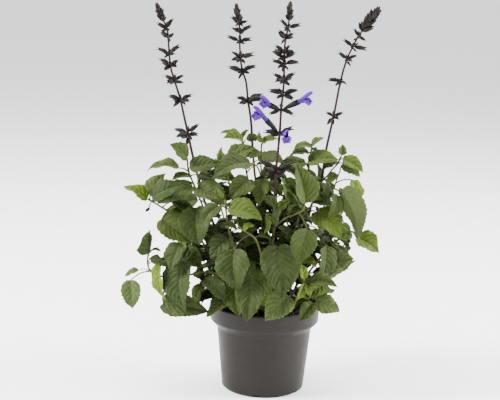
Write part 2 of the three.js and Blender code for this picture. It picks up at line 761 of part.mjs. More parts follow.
// Points all over the leaf, close enough to tell whether anything crosses it.
function leafDots(leaf) {
  const frame = leafFrame(leaf);
  const dots = dotted(stalkLine(leaf), 5);
  const rows = Math.ceil(frame.length / 6) + 1;
  const columns = Math.ceil(leaf.width / 7) + 1;
  for (let i = 0; i <= rows; i += 1) {
    for (let j = 0; j <= columns; j += 1) {
      const t = 0.04 + (0.94 * i) / rows;
      dots.push(bladePoint(leaf, frame, t, -0.95 + (1.9 * j) / columns));
    }
  }
  return dots;
}

// ---------------------------------------------------------------- keeping clear
const CELL = 8;
const space = new Map();
const cellKey = (i, j, k) => `${i},${j},${k}`;

function occupy(dots, node) {
  for (const p of dots) {
    const key = cellKey(Math.floor(p.x / CELL), Math.floor(p.y / CELL), Math.floor(p.z / CELL));
    if (!space.has(key)) {
      space.set(key, []);
    }
    space.get(key).push({ p, node });
  }
}

// Whether a point keeps its distance from all that is placed. Near its own root a leaf may meet its stem.
function pointClear(p, node, root) {
  const [i, j, k] = [Math.floor(p.x / CELL), Math.floor(p.y / CELL), Math.floor(p.z / CELL)];
  for (let n = 0; n < 27; n += 1) {
    const key = cellKey(i - 1 + (n % 3), j - 1 + (Math.floor(n / 3) % 3), k - 1 + Math.floor(n / 9));
    for (const other of space.get(key) ?? []) {
      const own = other.node === node;
      const nearRoot = own && other.p.distanceTo(root) < NEAR_ROOT;
      if (!nearRoot && other.p.distanceTo(p) < (own ? CLEAR_OF_OWN : CLEAR_OF_OTHERS)) {
        return false;
      }
    }
  }
  return true;
}

// Whether a point keeps off the pot and the soil.
function offPot(p) {
  const r = Math.hypot(p.x, p.y);
  const inMouth = r < RIM_RADIUS - 2 * CLEAR_OF_RIM && p.z > SOIL_TOP + 1.5 * CLEAR_OF_RIM;
  const offFloor = p.z > 1.5 * CLEAR_OF_RIM;
  return offFloor && (inMouth || r > RIM_RADIUS + CLEAR_OF_RIM || p.z > POT_HEIGHT + CLEAR_OF_RIM);
}

function leafClear(leaf) {
  return leafDots(leaf).every((p) => offPot(p) && pointClear(p, leaf.stem.node, leaf.root));
}

// Whether a filler leaf stays inside the dome, behind the front and out of the gaps in the crown.
function fillerInPlace(leaf) {
  const q = leaf.tip.clone().sub(vec(DOME_CENTRE)).divide(vec(DOME_RADII));
  if (q.length() > 1 || leaf.tip.y < FILLER_FRONT) {
    return false;
  }
  return leafDots(leaf).every((p) => CROWN_GAPS.every(([x, z]) => {
    const seenZ = p.z - LINE_OF_SIGHT[2] * p.y;
    return Math.hypot(p.x - x, seenZ - z) > CROWN_GAP_RADIUS;
  }));
}

// ---------------------------------------------------------------- growing the leaves
const leaves = [];

function keepLeaf(leaf) {
  occupy(leafDots(leaf), leaf.stem.node);
  leaves.push(leaf);
}

// A leaf of the table keeps its outline as seen from the front: it slides along the line of sight until it
// is clear, and is made smaller only if that fails.
function growListed(row, stem, order) {
  for (const size of LISTED_SIZES) {
    for (const slide of SLIDES) {
      const leaf = makeLeaf(row, leaves.length + 1, stem);
      leaf.base.addScaledVector(vec(LINE_OF_SIGHT), slide);
      leaf.tip.addScaledVector(vec(LINE_OF_SIGHT), slide);
      leaf.tip.lerp(leaf.base, 1 - size);
      leaf.width *= size;
      leaf.root = rootOn(stem, leaf.base, order);
      if (leafClear(leaf)) {
        keepLeaf(leaf);
        return leaf;
      }
    }
  }
  return null;
}

// The second leaf of a pair: the first one turned half round the stem, or as near to that as is clear.
function growPartner(first) {
  for (const size of PARTNER_SIZES) {
    for (const angle of PARTNER_TURNS) {
      const leaf = { ...first, index: leaves.length + 1, turn: 0 };
      const swing = (v) => v.clone().applyAxisAngle(UP, THREE.MathUtils.degToRad(angle));
      leaf.root = along(first.root, UP, -PARTNER_DROP);
      leaf.base = leaf.root.clone().add(swing(first.base.clone().sub(first.root)));
      leaf.tip = leaf.base.clone().addScaledVector(swing(first.tip.clone().sub(first.base)), size);
      leaf.width = first.width * size;
      if (leafClear(leaf) && fillerInPlace(leaf)) {
        keepLeaf(leaf);
        return;
      }
    }
  }
}

// One filler leaf: on a stalk that leaves the stem at a height and a bearing, and then leans out and down.
function fillerLeaf(stem, root, bearing, droop, length) {
  const out = new THREE.Vector3(Math.cos(bearing), Math.sin(bearing), 0);
  const stalk = along(root, out, length * FILLER_STALK[0]);
  stalk.z += length * FILLER_STALK[1];
  const tip = along(stalk, out, length * Math.cos(droop));
  tip.z -= length * Math.sin(droop);
  const tone = FILLER_TONES[leaves.length % FILLER_TONES.length];
  const row = [...stalk.toArray(), ...tip.toArray(), length * FILLER_WIDTH, 0, tone];
  return { ...makeLeaf(row, leaves.length + 1, stem), root: root.clone(), filler: true };
}

// Tries bearings, droops and sizes in turn until one filler leaf is clear.
function growFiller(stem, root, bearing, length) {
  for (const size of FILLER_SIZES) {
    for (const droop of FILLER_DROOPS) {
      for (const swing of FILLER_SWINGS) {
        const leaf = fillerLeaf(stem, root, bearing + swing, droop, length * size);
        if (leafClear(leaf) && fillerInPlace(leaf)) {
          keepLeaf(leaf);
          return;
        }
      }
    }
  }
}

// Pairs of filler leaves up a stem, each pair square to the last, larger below than above.
function growFillers(stem, order) {
  const above = stem.dots.filter((p) => p.z > POT_HEIGHT + 2 * CLEAR_OF_RIM);
  for (let pair = 0; pair < stem.filler; pair += 1) {
    const rise = (pair + 0.4) / stem.filler;
    const root = above[Math.min(above.length - 1, Math.floor(rise * above.length))];
    const bearing = order * FILLER_SPIRAL + (pair * Math.PI) / 2;
    const length = THREE.MathUtils.lerp(...FILLER_LENGTHS, rise);
    growFiller(stem, root, bearing, length);
    growFiller(stem, root, bearing + Math.PI, length);
  }
}

// ---------------------------------------------------------------- solids
// A closed solid from points and triangles.
function solidFrom(points, triangles) {
  const mesh = new wasm.Mesh({
    numProp: 3,
    vertProperties: new Float32Array(points.flatMap((p) => [p.x, p.y, p.z])),
    triVerts: new Uint32Array(triangles.flat()),
  });
  return new wasm.Manifold(mesh);
}

// A closed solid from one of three's own geometries.
function solidOf(geometry) {
  geometry.deleteAttribute("normal");
  geometry.deleteAttribute("uv");
  const merged = mergeVertices(geometry.index ? geometry.toNonIndexed() : geometry, 1e-4);
  const corners = merged.attributes.position;
  const points = Array.from({ length: corners.count }, (_, i) =>
    new THREE.Vector3().fromBufferAttribute(corners, i));
  const index = merged.index.array;
  const triangles = [];
  for (let i = 0; i < index.length; i += 3) {
    const [a, b, c] = [index[i], index[i + 1], index[i + 2]];
    if (a !== b && b !== c && c !== a) {
      triangles.push([a, b, c]);
    }
  }
  return solidFrom(points, triangles);
}

const joined = (solids) => solids.reduce((sum, solid) => sum.add(solid));

// Joined solids, with any hollow that the joining sealed filled again.
const fused = (solids) => joined(joined(solids).decompose().filter((shell) => shell.volume() > 0));

function namedMesh(name, solid, finish) {
  const { vertProperties, triVerts } = solid.getMesh();
  const geometry = new THREE.BufferGeometry();
  geometry.setAttribute("position", new THREE.BufferAttribute(new Float32Array(vertProperties), 3));
  geometry.setIndex(new THREE.BufferAttribute(new Uint32Array(triVerts), 1));
  geometry.computeVertexNormals();
  const mesh = new THREE.Mesh(geometry, finish.clone());
  mesh.name = name;
  return mesh;
}

// Triangles of the band between two rings of the same number of corners, turned outwards.
function band(lower, upper) {
  return lower.flatMap((a, i) => {
    const j = (i + 1) % lower.length;
    return [[a, lower[j], upper[j]], [a, upper[j], upper[i]]];
  });
}

const fan = (ring) => ring.slice(1, -1).map((corner, i) => [ring[0], corner, ring[i + 2]]);

// A tapering rod with the given number of sides along a line of points. flat squeezes it front to back.
function rod(points, radiusAt, sides, flat = 1) {
  const corners = [];
  const rings = [];
  let face = null;
  points.forEach((p, i) => {
    const ahead = points[Math.min(i + 1, points.length - 1)];
    const behind = points[Math.max(i - 1, 0)];
    const d = ahead.clone().sub(behind).normalize();
    face = squareTo(face ?? (Math.abs(d.z) > 0.9 ? new THREE.Vector3(0, -1, 0) : UP), d);
    const side = new THREE.Vector3().crossVectors(d, face);
    const r = radiusAt(i / (points.length - 1));
    rings.push(Array.from({ length: sides }, (_, k) => {
      const angle = ((k + 0.5) * 2 * Math.PI) / sides;
      corners.push(along(along(p, face, flat * r * Math.cos(angle)), side, r * Math.sin(angle)));
      return corners.length - 1;
    }));
  });
  const triangles = rings.slice(1).flatMap((ring, i) => band(rings[i], ring));
  return solidFrom(corners, [...triangles, ...fan([...rings[0]].reverse()), ...fan(rings.at(-1))]);
}

const taper = (foot, tip) => (t) => foot + (tip - foot) * t;

// Radii given for evenly spaced points of a rod.
const listed = (radii) => (t) => radii[Math.round(t * (radii.length - 1))];

// A calyx: it starts as a point inside what carries it, swells, and ends in a long upper tooth and two
// lower ones, each corner given as its reach and its radius. A shut bud ends in one point.
const CALYX_BELLY = [[0.5, 1.1], [0.5, 1.1], [0.5, 1.1]];
const CALYX_TEETH = [[1, 0.3], [0.9, 0.7], [0.9, 0.7]];
function calyxSolid(root, d, length, fatness) {
  const face = squareTo(Math.abs(d.z) > 0.95 ? new THREE.Vector3(0, -1, 0) : UP, d);
  const side = new THREE.Vector3().crossVectors(d, face);
  const ring = (places) => places.map(([reach, radius], k) => {
    const angle = (k * 2 * Math.PI) / 3;
    const spoke = face.clone().multiplyScalar(Math.cos(angle)).addScaledVector(side, Math.sin(angle));
    return along(along(root, d, reach * length), spoke, radius * fatness * length);
  });
  const start = along(root, d, CALYX_ROOT);
  const belly = ring(CALYX_BELLY);
  const foot = [[0, 2, 1], [0, 3, 2], [0, 1, 3]];
  if (length < SHUT_BUD) {
    return solidFrom([start, ...belly, along(root, d, length)], [...foot, [1, 2, 4], [2, 3, 4], [3, 1, 4]]);
  }
  const mouth = ring(CALYX_TEETH);
  return solidFrom([start, ...belly, ...mouth], [...foot, ...band([1, 2, 3], [4, 5, 6]), [4, 5, 6]]);
}

// ---------------------------------------------------------------- the leaf's solid
// A tooth's point and the notch after it: each one's place along the tooth, and its reach out as a share
// of the blade's half width. TIP_SHARE is the toothless stretch at the blade's tip, in teeth.
const TOOTH = [[0.75, 1.07], [1, 0.86]];
const TIP_SHARE = 0.7;

// Corners along one margin, each with its place t along the blade.
function marginCorners(leaf, frame, u, teeth) {
  const corners = [];
  for (let i = 0; i < teeth; i += 1) {
    for (const [offset, reach] of TOOTH) {
      const t = (i + offset) / (teeth + TIP_SHARE);
      corners.push({ t, p: bladePoint(leaf, frame, t, u * reach) });
    }
  }
  return corners;
}

// Triangles between a margin and the midrib, both lists of corner numbers with their places t.
function zip(margin, rib, flip) {
  const triangles = [];
  let [i, j] = [0, 0];
  while (i < margin.length - 1 || j < rib.length - 1) {
    const marginNext = j === rib.length - 1 || (i < margin.length - 1 && margin[i + 1].t <= rib[j + 1].t);
    const next = marginNext ? margin[i + 1] : rib[j + 1];
    const corner = [margin[i].id, next.id, rib[j].id];
    if (new Set(corner).size === 3) {
      triangles.push(flip ? corner.reverse() : corner);
    }
    [i, j] = marginNext ? [i + 1, j] : [i, j + 1];
  }
  return triangles;
}

// How many teeth a margin has: more on a longer blade, and fewer on the filler leaves inside the plant.
function teethOf(leaf, length) {
  const count = length > LONG_BLADE ? 4 : length > MIDDLING_BLADE ? 3 : 2;
  return leaf.filler ? 2 : count;
}

// The whole leaf as one closed solid: a three-sided stalk that opens into a blade, thickest at its midrib
// and sharp at its toothed margins.
function leafSolid(leaf) {
  const frame = leafFrame(leaf);
  const points = [];
  const put = (p) => points.push(p) - 1;
  const teeth = teethOf(leaf, frame.length);
  const ribs = frame.length > LONG_BLADE ? 2 : 1;
  const girth = Math.min(STALK_GIRTHS[1], STALK_GIRTHS[0] + frame.length / 90);
  const bent = leaf.root.distanceTo(leaf.base) > LONG_STALK;
  const line = bent ? stalkLine(leaf) : [leaf.root, leaf.base];
  const last = line.length - 1;
  const rings = line.map((p, i) => {
    const d = i === last ? frame.a : line[i + 1].clone().sub(line[Math.max(i - 1, 0)]).normalize();
    const s = squareTo(frame.s, d);
    const n = new THREE.Vector3().crossVectors(s, d);
    const g = i === 0 ? ROOT_GIRTH : girth;
    return [put(along(p, s, -g)), put(along(p, s, g)), put(along(p, n, -STALK_KEEL * g))];
  });
  const triangles = [[rings[0][0], rings[0][2], rings[0][1]]];
  triangles.push(...rings.slice(1).flatMap((ring, i) => band(rings[i], ring)));
  const [left, right, keel] = rings[last];
  const tip = { t: 1, id: put(leaf.tip) };
  const margin = (u, start) => [
    { t: 0, id: start },
    ...marginCorners(leaf, frame, u, teeth).map(({ t, p }) => ({ t, id: put(p) })),
    tip,
  ];
  const [leftMargin, rightMargin] = [margin(-1, left), margin(1, right)];
  const rib = (drop) => Array.from({ length: ribs }, (_, k) => {
    const t = ((k + 0.7) / (ribs + 0.5)) * 0.92;
    return { t, id: put(along(bladePoint(leaf, frame, t, 0), frame.n, -drop)) };
  });
  const upper = [...rib(0), tip];
  const lower = [{ t: 0, id: keel }, ...rib(LEAF_THICKNESS), tip];
  triangles.push([left, right, upper[0].id]);
  triangles.push(...zip(leftMargin, upper, true), ...zip(rightMargin, upper, false));
  triangles.push(...zip(leftMargin, lower, false), ...zip(rightMargin, lower, true));
  return solidFrom(points, triangles);
}

// ---------------------------------------------------------------- spikes, buds and flowers
// The point of a line of dots at a height.
const atHeight = (dots, z) => dots.reduce((a, b) => (Math.abs(b.z - z) < Math.abs(a.z - z) ? b : a));

// The directions of a whorl's calyces: those of its left and its right, fanned front and back, and one
// that points to the front or the back.
function whorlCalyces([height, left, right], seed) {
  const draws = new Draws(seed);
  const hand = seed % 2 === 0 ? 1 : -1;
  const set = (list, bearing) => list.map(([lift, length], i) => {
    const fanned = bearing + hand * CALYX_FAN[i] + draws.between(-5, 5);
    return { lift, length, bearing: fanned, height: height - WHORL_STEP * i };
  });
  const [lift, length] = [draws.between(...DEEP_CALYX_LIFTS), draws.between(...DEEP_CALYX_LENGTHS)];
  const deep = { lift, length, bearing: 90 * hand, height: height + 1 };
  return [...set(left, 180), ...set(right, 0), deep].map((calyx) => {
    const [rise, turn] = [calyx.lift, calyx.bearing].map(THREE.MathUtils.degToRad);
    const flat = Math.cos(rise);
    const d = new THREE.Vector3(flat * Math.cos(turn), flat * Math.sin(turn), Math.sin(rise));
    return { ...calyx, d };
  });
}

// The tight cluster at the spike's tip: tiers of pointed bracts, each tier turned half a bract from the one
// below, and every bract's point standing out over the foot of the next tier.
function bractCluster(from, to) {
  const d = to.clone().sub(from).normalize();
  const face = squareTo(new THREE.Vector3(0, -1, 0), d);
  const side = new THREE.Vector3().crossVectors(d, face);
  const length = from.distanceTo(to);
  const points = [along(from, d, -1)];
  const rings = BRACT_TIERS.flatMap(([foot, radius], tier) => {
    const next = tier + 1 < BRACT_TIERS.length ? BRACT_TIERS[tier + 1][0] : 1;
    const rise = next - foot;
    const levels = [[foot, 0.72, 0], [foot + 0.55 * rise, 1, 0], [next, 0.6, 0.5 * rise]];
    return levels.map(([reach, girth, point]) =>
      Array.from({ length: BRACT_SIDES }, (_, k) => {
        const angle = (k * 2 * Math.PI) / BRACT_SIDES + 0.4;
        const pointed = (k + tier) % 2 === 0;
        const spoke = face.clone().multiplyScalar(Math.cos(angle)).addScaledVector(side, Math.sin(angle));
        const height = (reach + (pointed ? 0.6 * point : -0.9 * point)) * length;
        return points.push(along(along(from, d, height), spoke, radius * girth * (pointed ? 1.12 : 0.9))) - 1;
      }));
  });
  const tip = points.push(to) - 1;
  const closing = (ring, apex, flip) => ring.map((a, k) => {
    const b = ring[(k + 1) % ring.length];
    return flip ? [apex, b, a] : [apex, a, b];
  });
  const bands = rings.slice(1).flatMap((ring, i) => band(rings[i], ring));
  return solidFrom(points, [...closing(rings[0], 0, true), ...bands, ...closing(rings.at(-1), tip, false)]);
}

function makeSpike(entry, order) {
  const stem = stems.find((s) => s.node === entry.stem);
  const end = stem.points.at(-1);
  const d = end.clone().sub(stem.points.at(-2)).normalize();
  const foot = along(end, d, SEAT_GAP);
  const straight = along(foot, d, 6);
  const line = [foot, ...smoothRoute([straight.toArray(), ...entry.route], 40, false)];
  const dots = dotted(line, 2);
  const neck = line.at(-1);
  const tip = vec(entry.tip);
  const calyces = entry.whorls.flatMap((whorl, i) => whorlCalyces(whorl, 40 * order + i))
    .map((calyx) => ({ ...calyx, root: atHeight(dots, calyx.height) }));
  return { ...entry, line, dots, calyces, neck, tipPoint: tip };
}

// The calyx of an open flower: a stalk and a funnel with an open, level mouth.
function flowerCup(spike, flower) {
  const root = atHeight(spike.dots, flower.from);
  const mouth = vec(flower.mouth);
  const line = [root, root.clone().lerp(mouth, 0.5), mouth];
  return rod(line, listed(CUP_RADII), 5);
}

function spikeSolid(spike) {
  const core = [...spike.line, spike.neck.clone().lerp(spike.tipPoint, 0.2)];
  const parts = [rod(core, taper(...SPIKE_STEM_RADII), STEM_SIDES)];
  parts.push(...spike.calyces.map((c) => calyxSolid(c.root, c.d, c.length, CALYX_FATNESS)));
  parts.push(bractCluster(spike.neck, spike.tipPoint));
  parts.push(...spike.flowers.map((flower) => flowerCup(spike, flower)));
  return fused(parts);
}

// A corolla: a tube out of the calyx's mouth, a narrow hood above and a broad lip below.
function corollaLines(spike, flower) {
  const root = atHeight(spike.dots, flower.from);
  const [mouth, throat, hood, lip] = ["mouth", "throat", "hood", "lip"].map((key) => vec(flower[key]));
  const d = mouth.clone().sub(root).normalize();
  const start = along(mouth, d, SEAT_GAP);
  const run = throat.clone().sub(start).normalize();
  const crown = along(along(throat, run, 2).lerp(hood, 0.4), UP, HOOD_ARCH * throat.distanceTo(hood));
  return {
    tube: [start, along(start, d, 2), start.clone().lerp(throat, 0.55), throat],
    hood: [along(throat, run, -3), crown, hood],
    lip: [
      along(throat, run, -3), along(throat, run, 2.5).lerp(lip, 0.3),
      along(throat, run, 1.5).lerp(lip, 0.7), lip,
    ],
  };
}

function corollaSolid(lines) {
  return fused([
    rod(lines.tube, listed(TUBE_RADII), 5),
    rod(lines.hood, listed(HOOD_RADII), 5),
    rod(lines.lip, listed(LIP_RADII), 5, LIP_FLATNESS),
  ]);
}

// A cluster of dark buds at the end of a shoot: a short stalk, and buds in turn to either side of it.
function makeBuds(stem) {
  const [node, to, count] = stem.buds;
  const end = stem.points.at(-1);
  const d = end.clone().sub(stem.points.at(-2)).normalize();
  const foot = along(end, d, SEAT_GAP);
  const line = [foot, along(foot, d, 2.5), along(foot, d, 2.5).lerp(vec(to), 0.5)];
  const run = vec(to).sub(foot).normalize();
  const draws = new Draws(700 + count + Math.round(Math.abs(end.x)));
  const length = THREE.MathUtils.clamp(0.55 * foot.distanceTo(vec(to)), ...BUD_LENGTHS);
  const buds = Array.from({ length: count }, (_, i) => {
    const spoke = squareTo(new THREE.Vector3(0, -1, 0.3), run).applyAxisAngle(run, i * GOLDEN_TURN);
    const t = i / count;
    const root = line[1].clone().lerp(line[2], t);
    return { root, d: along(run, spoke, draws.between(...BUD_SPREADS) * (1 - 0.5 * t)).normalize(), length };
  });
  return { node, line, buds };
}

function budsSolid(cluster) {
  const parts = cluster.buds.map((b) => calyxSolid(b.root, b.d, b.length, BUD_FATNESS));
  return fused([rod(cluster.line, taper(1.2, 1), STEM_SIDES), ...parts]);
}

// ---------------------------------------------------------------- pot and soil
// The inner face of the pot's wall, from its floor to under the lip, moved in by a gap.
const innerWall = (gap) => [
  [BASE_RADIUS - POT_WALL - 1.6 - gap, POT_FLOOR + gap],
  [SHOULDER_RADIUS - POT_WALL - gap, SHOULDER_FOOT],
  [RIM_RADIUS - 3.8 - gap, RIM_BAND_FOOT + 0.6],
];

function potSolid() {
  const outer = [
    [0, 0], [66.5, 0], [BASE_RADIUS - 0.6, 3.6], [SHOULDER_RADIUS, SHOULDER_FOOT],
    [SHOULDER_RADIUS + 2.6, SHOULDER_FOOT + 3.6], [RIM_RADIUS - 3, RIM_BAND_FOOT - 2.2],
    [RIM_RADIUS - 1.4, RIM_BAND_FOOT], [RIM_RADIUS, POT_HEIGHT - 2], [RIM_RADIUS - 1, POT_HEIGHT],
  ];
  const lip = [[RIM_RADIUS - 2.6, POT_HEIGHT]];
  const profile = [...outer, ...lip, ...innerWall(0).reverse(), [0, POT_FLOOR]];
  const shell = solidOf(new THREE.LatheGeometry(profile.map(([r, z]) => new THREE.Vector2(r, z)), POT_SIDES)
    .rotateX(Math.PI / 2));
  return shell.subtract(joined([...drainHoles(), ...drainSlots()]));
}

// Four round holes through the floor, and slots up the foot of the wall where the pot stands on a surface.
function drainHoles() {
  return [0, 1, 2, 3].map((k) => {
    const angle = (k + 0.5) * Math.PI / 2;
    const hole = new THREE.CylinderGeometry(DRAIN_HOLE_RADIUS, DRAIN_HOLE_RADIUS, 3 * POT_FLOOR, 8)
      .rotateX(Math.PI / 2)
      .translate(DRAIN_HOLE_CIRCLE * Math.cos(angle), DRAIN_HOLE_CIRCLE * Math.sin(angle), POT_FLOOR / 2);
    return solidOf(hole);
  });
}

function drainSlots() {
  return Array.from({ length: DRAIN_SLOTS }, (_, k) => {
    const slot = new THREE.BoxGeometry(...SLOT_BOX)
      .translate(BASE_RADIUS - 1, 0, SLOT_HEIGHT)
      .rotateZ(((k + 0.35) * 2 * Math.PI) / DRAIN_SLOTS);
    return solidOf(slot);
  });
}

// The soil fills the pot, crumbly on top, with a plain hole for each stem's foot.
function soilSolid() {
  const wall = innerWall(SEAT_GAP);
  const rimSide = [RIM_RADIUS - 3 - SEAT_GAP, SOIL_TOP - 1];
  const top = [[64, SOIL_TOP + 1], [0, SOIL_TOP + 0.5]];
  const profile = [[0, POT_FLOOR + SEAT_GAP], ...wall, rimSide, ...top];
  const body = new THREE.LatheGeometry(profile.map(([r, z]) => new THREE.Vector2(r, z)), POT_SIDES)
    .rotateX(Math.PI / 2);
  const p = body.attributes.position;
  for (let i = 0; i < p.count; i += 1) {
    const [x, y, z] = [p.getX(i), p.getY(i), p.getZ(i)];
    const bump = Math.sin(x / 7 + 1) * Math.sin(y / 6) + 0.6 * Math.sin((x + y) / 4);
    const onTop = z > SOIL_TOP - 2 && Math.hypot(x, y) < RIM_RADIUS - SMOOTH_SOIL_EDGE;
    p.setZ(i, onTop ? z + SOIL_LUMPS * bump : z);
  }
  const holes = stems.filter((stem) => stem.rooted).map((stem) => {
    const r = stem.radius[0] + SEAT_GAP;
    const [x, y] = stem.route[0];
    const deep = new THREE.CylinderGeometry(r, r, 40, 4).rotateX(Math.PI / 2).rotateZ(Math.PI / 4);
    return solidOf(deep.translate(x, y, STEM_FOOT - SEAT_GAP + 20));
  });
  return solidOf(body).subtract(joined(holes));
}

// ---------------------------------------------------------------- the whole plant
const stems = STEMS.map((entry) => {
  const rooted = entry.route[0][2] === STEM_FOOT;
  const points = smoothRoute(entry.route, 42, rooted);
  return { ...entry, rooted, points, dots: dotted(points, 4) };
});
stems.forEach((stem) => occupy(stem.dots, stem.node));
const spikes = SPIKES.map(makeSpike);
const budClusters = stems.filter((stem) => stem.buds).map(makeBuds);
for (const spike of spikes) {
  occupy(dotted([...spike.line, spike.tipPoint], 4), spike.node);
  spike.calyces.forEach((c) => occupy(dotted([c.root, along(c.root, c.d, c.length)], 4), spike.node));
  for (const flower of spike.flowers) {
    const lines = corollaLines(spike, flower);
    occupy([...lines.tube, ...lines.hood, ...lines.lip, vec(flower.mouth)], flower.node);
  }
}
for (const cluster of budClusters) {
  cluster.buds.forEach((b) => occupy(dotted([b.root, along(b.root, b.d, b.length)], 3), cluster.node));
}

const firsts = [];
for (const stem of stems) {
  stem.leaves.forEach((row, order) => {
    const leaf = growListed(row, stem, order);
    if (leaf && row.at(-1) === PAIR) {
      firsts.push(leaf);
    }
  });
}
firsts.forEach(growPartner);
stems.forEach(growFillers);

const plant = new THREE.Group();
plant.add(namedMesh("pot", potSolid(), FINISHES.pot));
plant.add(namedMesh("soil", soilSolid(), FINISHES.soil));
for (const node of new Set(stems.map((stem) => stem.node))) {
  const rods = stems.filter((stem) => stem.node === node)
    .map((stem) => rod(stem.points, taper(...stem.radius), stem.buds ? TWIG_SIDES : STEM_SIDES));
  const blades = leaves.filter((leaf) => leaf.stem.node === node).map(leafSolid);
  plant.add(namedMesh(node, fused([...rods, ...blades]), FINISHES.foliage));
}
for (const spike of spikes) {
  plant.add(namedMesh(spike.node, spikeSolid(spike), FINISHES.calyx));
  for (const flower of spike.flowers) {
    plant.add(namedMesh(flower.node, corollaSolid(corollaLines(spike, flower)), FINISHES.corolla));
  }
}
for (const cluster of budClusters) {
  plant.add(namedMesh(cluster.node, budsSolid(cluster), FINISHES.calyx));
}

export default plant;
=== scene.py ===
"""The potted perennial salvia's finished surfaces, built over its fixed frame.

Sizes in the tables are millimetres, +Z up, from the middle of the pot's underside, with the plant's front
towards -Y. Meshes are written in metres.
"""

import itertools
import math
import types

import bpy
import numpy as np
from mathutils import Matrix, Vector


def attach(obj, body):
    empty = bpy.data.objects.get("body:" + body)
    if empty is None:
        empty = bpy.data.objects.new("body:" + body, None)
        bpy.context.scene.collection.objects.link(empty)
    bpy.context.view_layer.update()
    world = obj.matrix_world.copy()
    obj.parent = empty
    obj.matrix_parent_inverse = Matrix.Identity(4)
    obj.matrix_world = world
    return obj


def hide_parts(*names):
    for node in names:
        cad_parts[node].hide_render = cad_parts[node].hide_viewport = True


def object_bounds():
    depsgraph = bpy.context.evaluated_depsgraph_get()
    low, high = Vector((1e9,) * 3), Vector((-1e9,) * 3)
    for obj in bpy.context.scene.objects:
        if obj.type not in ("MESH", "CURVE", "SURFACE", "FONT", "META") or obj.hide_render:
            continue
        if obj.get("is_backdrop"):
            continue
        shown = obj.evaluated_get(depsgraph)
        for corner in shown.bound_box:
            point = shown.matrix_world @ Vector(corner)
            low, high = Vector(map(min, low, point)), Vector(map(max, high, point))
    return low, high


bl_info = {
    "name": "Potted Salvia",
    "version": (1, 0, 0),
    "blender": (4, 5, 0),
    "location": "View3D > Sidebar > Salvia",
    "description": "Builds the leaves, spikes, flowers, pot and soil of a potted perennial salvia",
    "category": "Add Mesh",
}

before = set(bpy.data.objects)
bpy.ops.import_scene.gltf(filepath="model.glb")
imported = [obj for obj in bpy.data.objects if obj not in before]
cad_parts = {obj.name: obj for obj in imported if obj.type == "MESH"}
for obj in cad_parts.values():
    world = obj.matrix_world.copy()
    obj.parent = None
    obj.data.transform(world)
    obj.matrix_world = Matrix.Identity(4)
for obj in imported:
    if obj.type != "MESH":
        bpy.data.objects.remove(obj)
CAD_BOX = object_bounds()

MM = 0.001
POT_HEIGHT, POT_WALL, POT_FLOOR = 150, 1.7, 2.5
RIM_RADIUS, RIM_BAND_FOOT = 95, 122.5
SHOULDER_RADIUS, SHOULDER_FOOT = 81.5, 109
BASE_RADIUS = 71.2
DRAIN_HOLES, DRAIN_HOLE_RADIUS, DRAIN_HOLE_CIRCLE, DRAIN_SLOTS = 4, 5, 38, 6
SOIL_TOP = 138
SEAT_GAP = 0.4
STEM_FOOT, STEM_STRAIGHT_TO = 112, 146
# Leaf tones. A leaf's tone is partly its own colour, young leaves being lighter, and partly painted light and shade:
# leaves that sit in shade are given DARK, and well-lit ones the lighter tones.
DARK, MID, LIGHT, YOUNG, GREY = range(5)
PAIR = "pair"
SEEDS = {"blade": 4000, "axil": 7000, "inner": 8000, "cluster": 700, "buds": 300, "spike": 900, "flower": 60,
         "soil": 77}


def stem(node, radius, route, leaves=(), filler=0, buds=None):
    """A stem's entry. A route that starts with a point in plan comes straight up out of the soil there."""
    rooted = len(route[0]) == 2
    if rooted:
        route = [[*route[0], STEM_FOOT], [*route[0], STEM_STRAIGHT_TO], *route[1:]]
    return dict(node=node, radius=radius, route=route, leaves=leaves, filler=filler, buds=buds, rooted=rooted)


def spike(number, route, tip, whorls, flowers=(), more=()):
    """A spike's entry. It goes on from the stem of its own number."""
    keys = ("from", "mouth", "throat", "hood", "lip")
    flowers = [dict(zip(keys, row), node=f"corolla_{i + 1}") for i, row in enumerate(flowers)]
    return dict(node=f"spike_{number}", stem=f"stem_{number}", route=route, tip=tip, whorls=whorls,
                flowers=flowers, more=more)
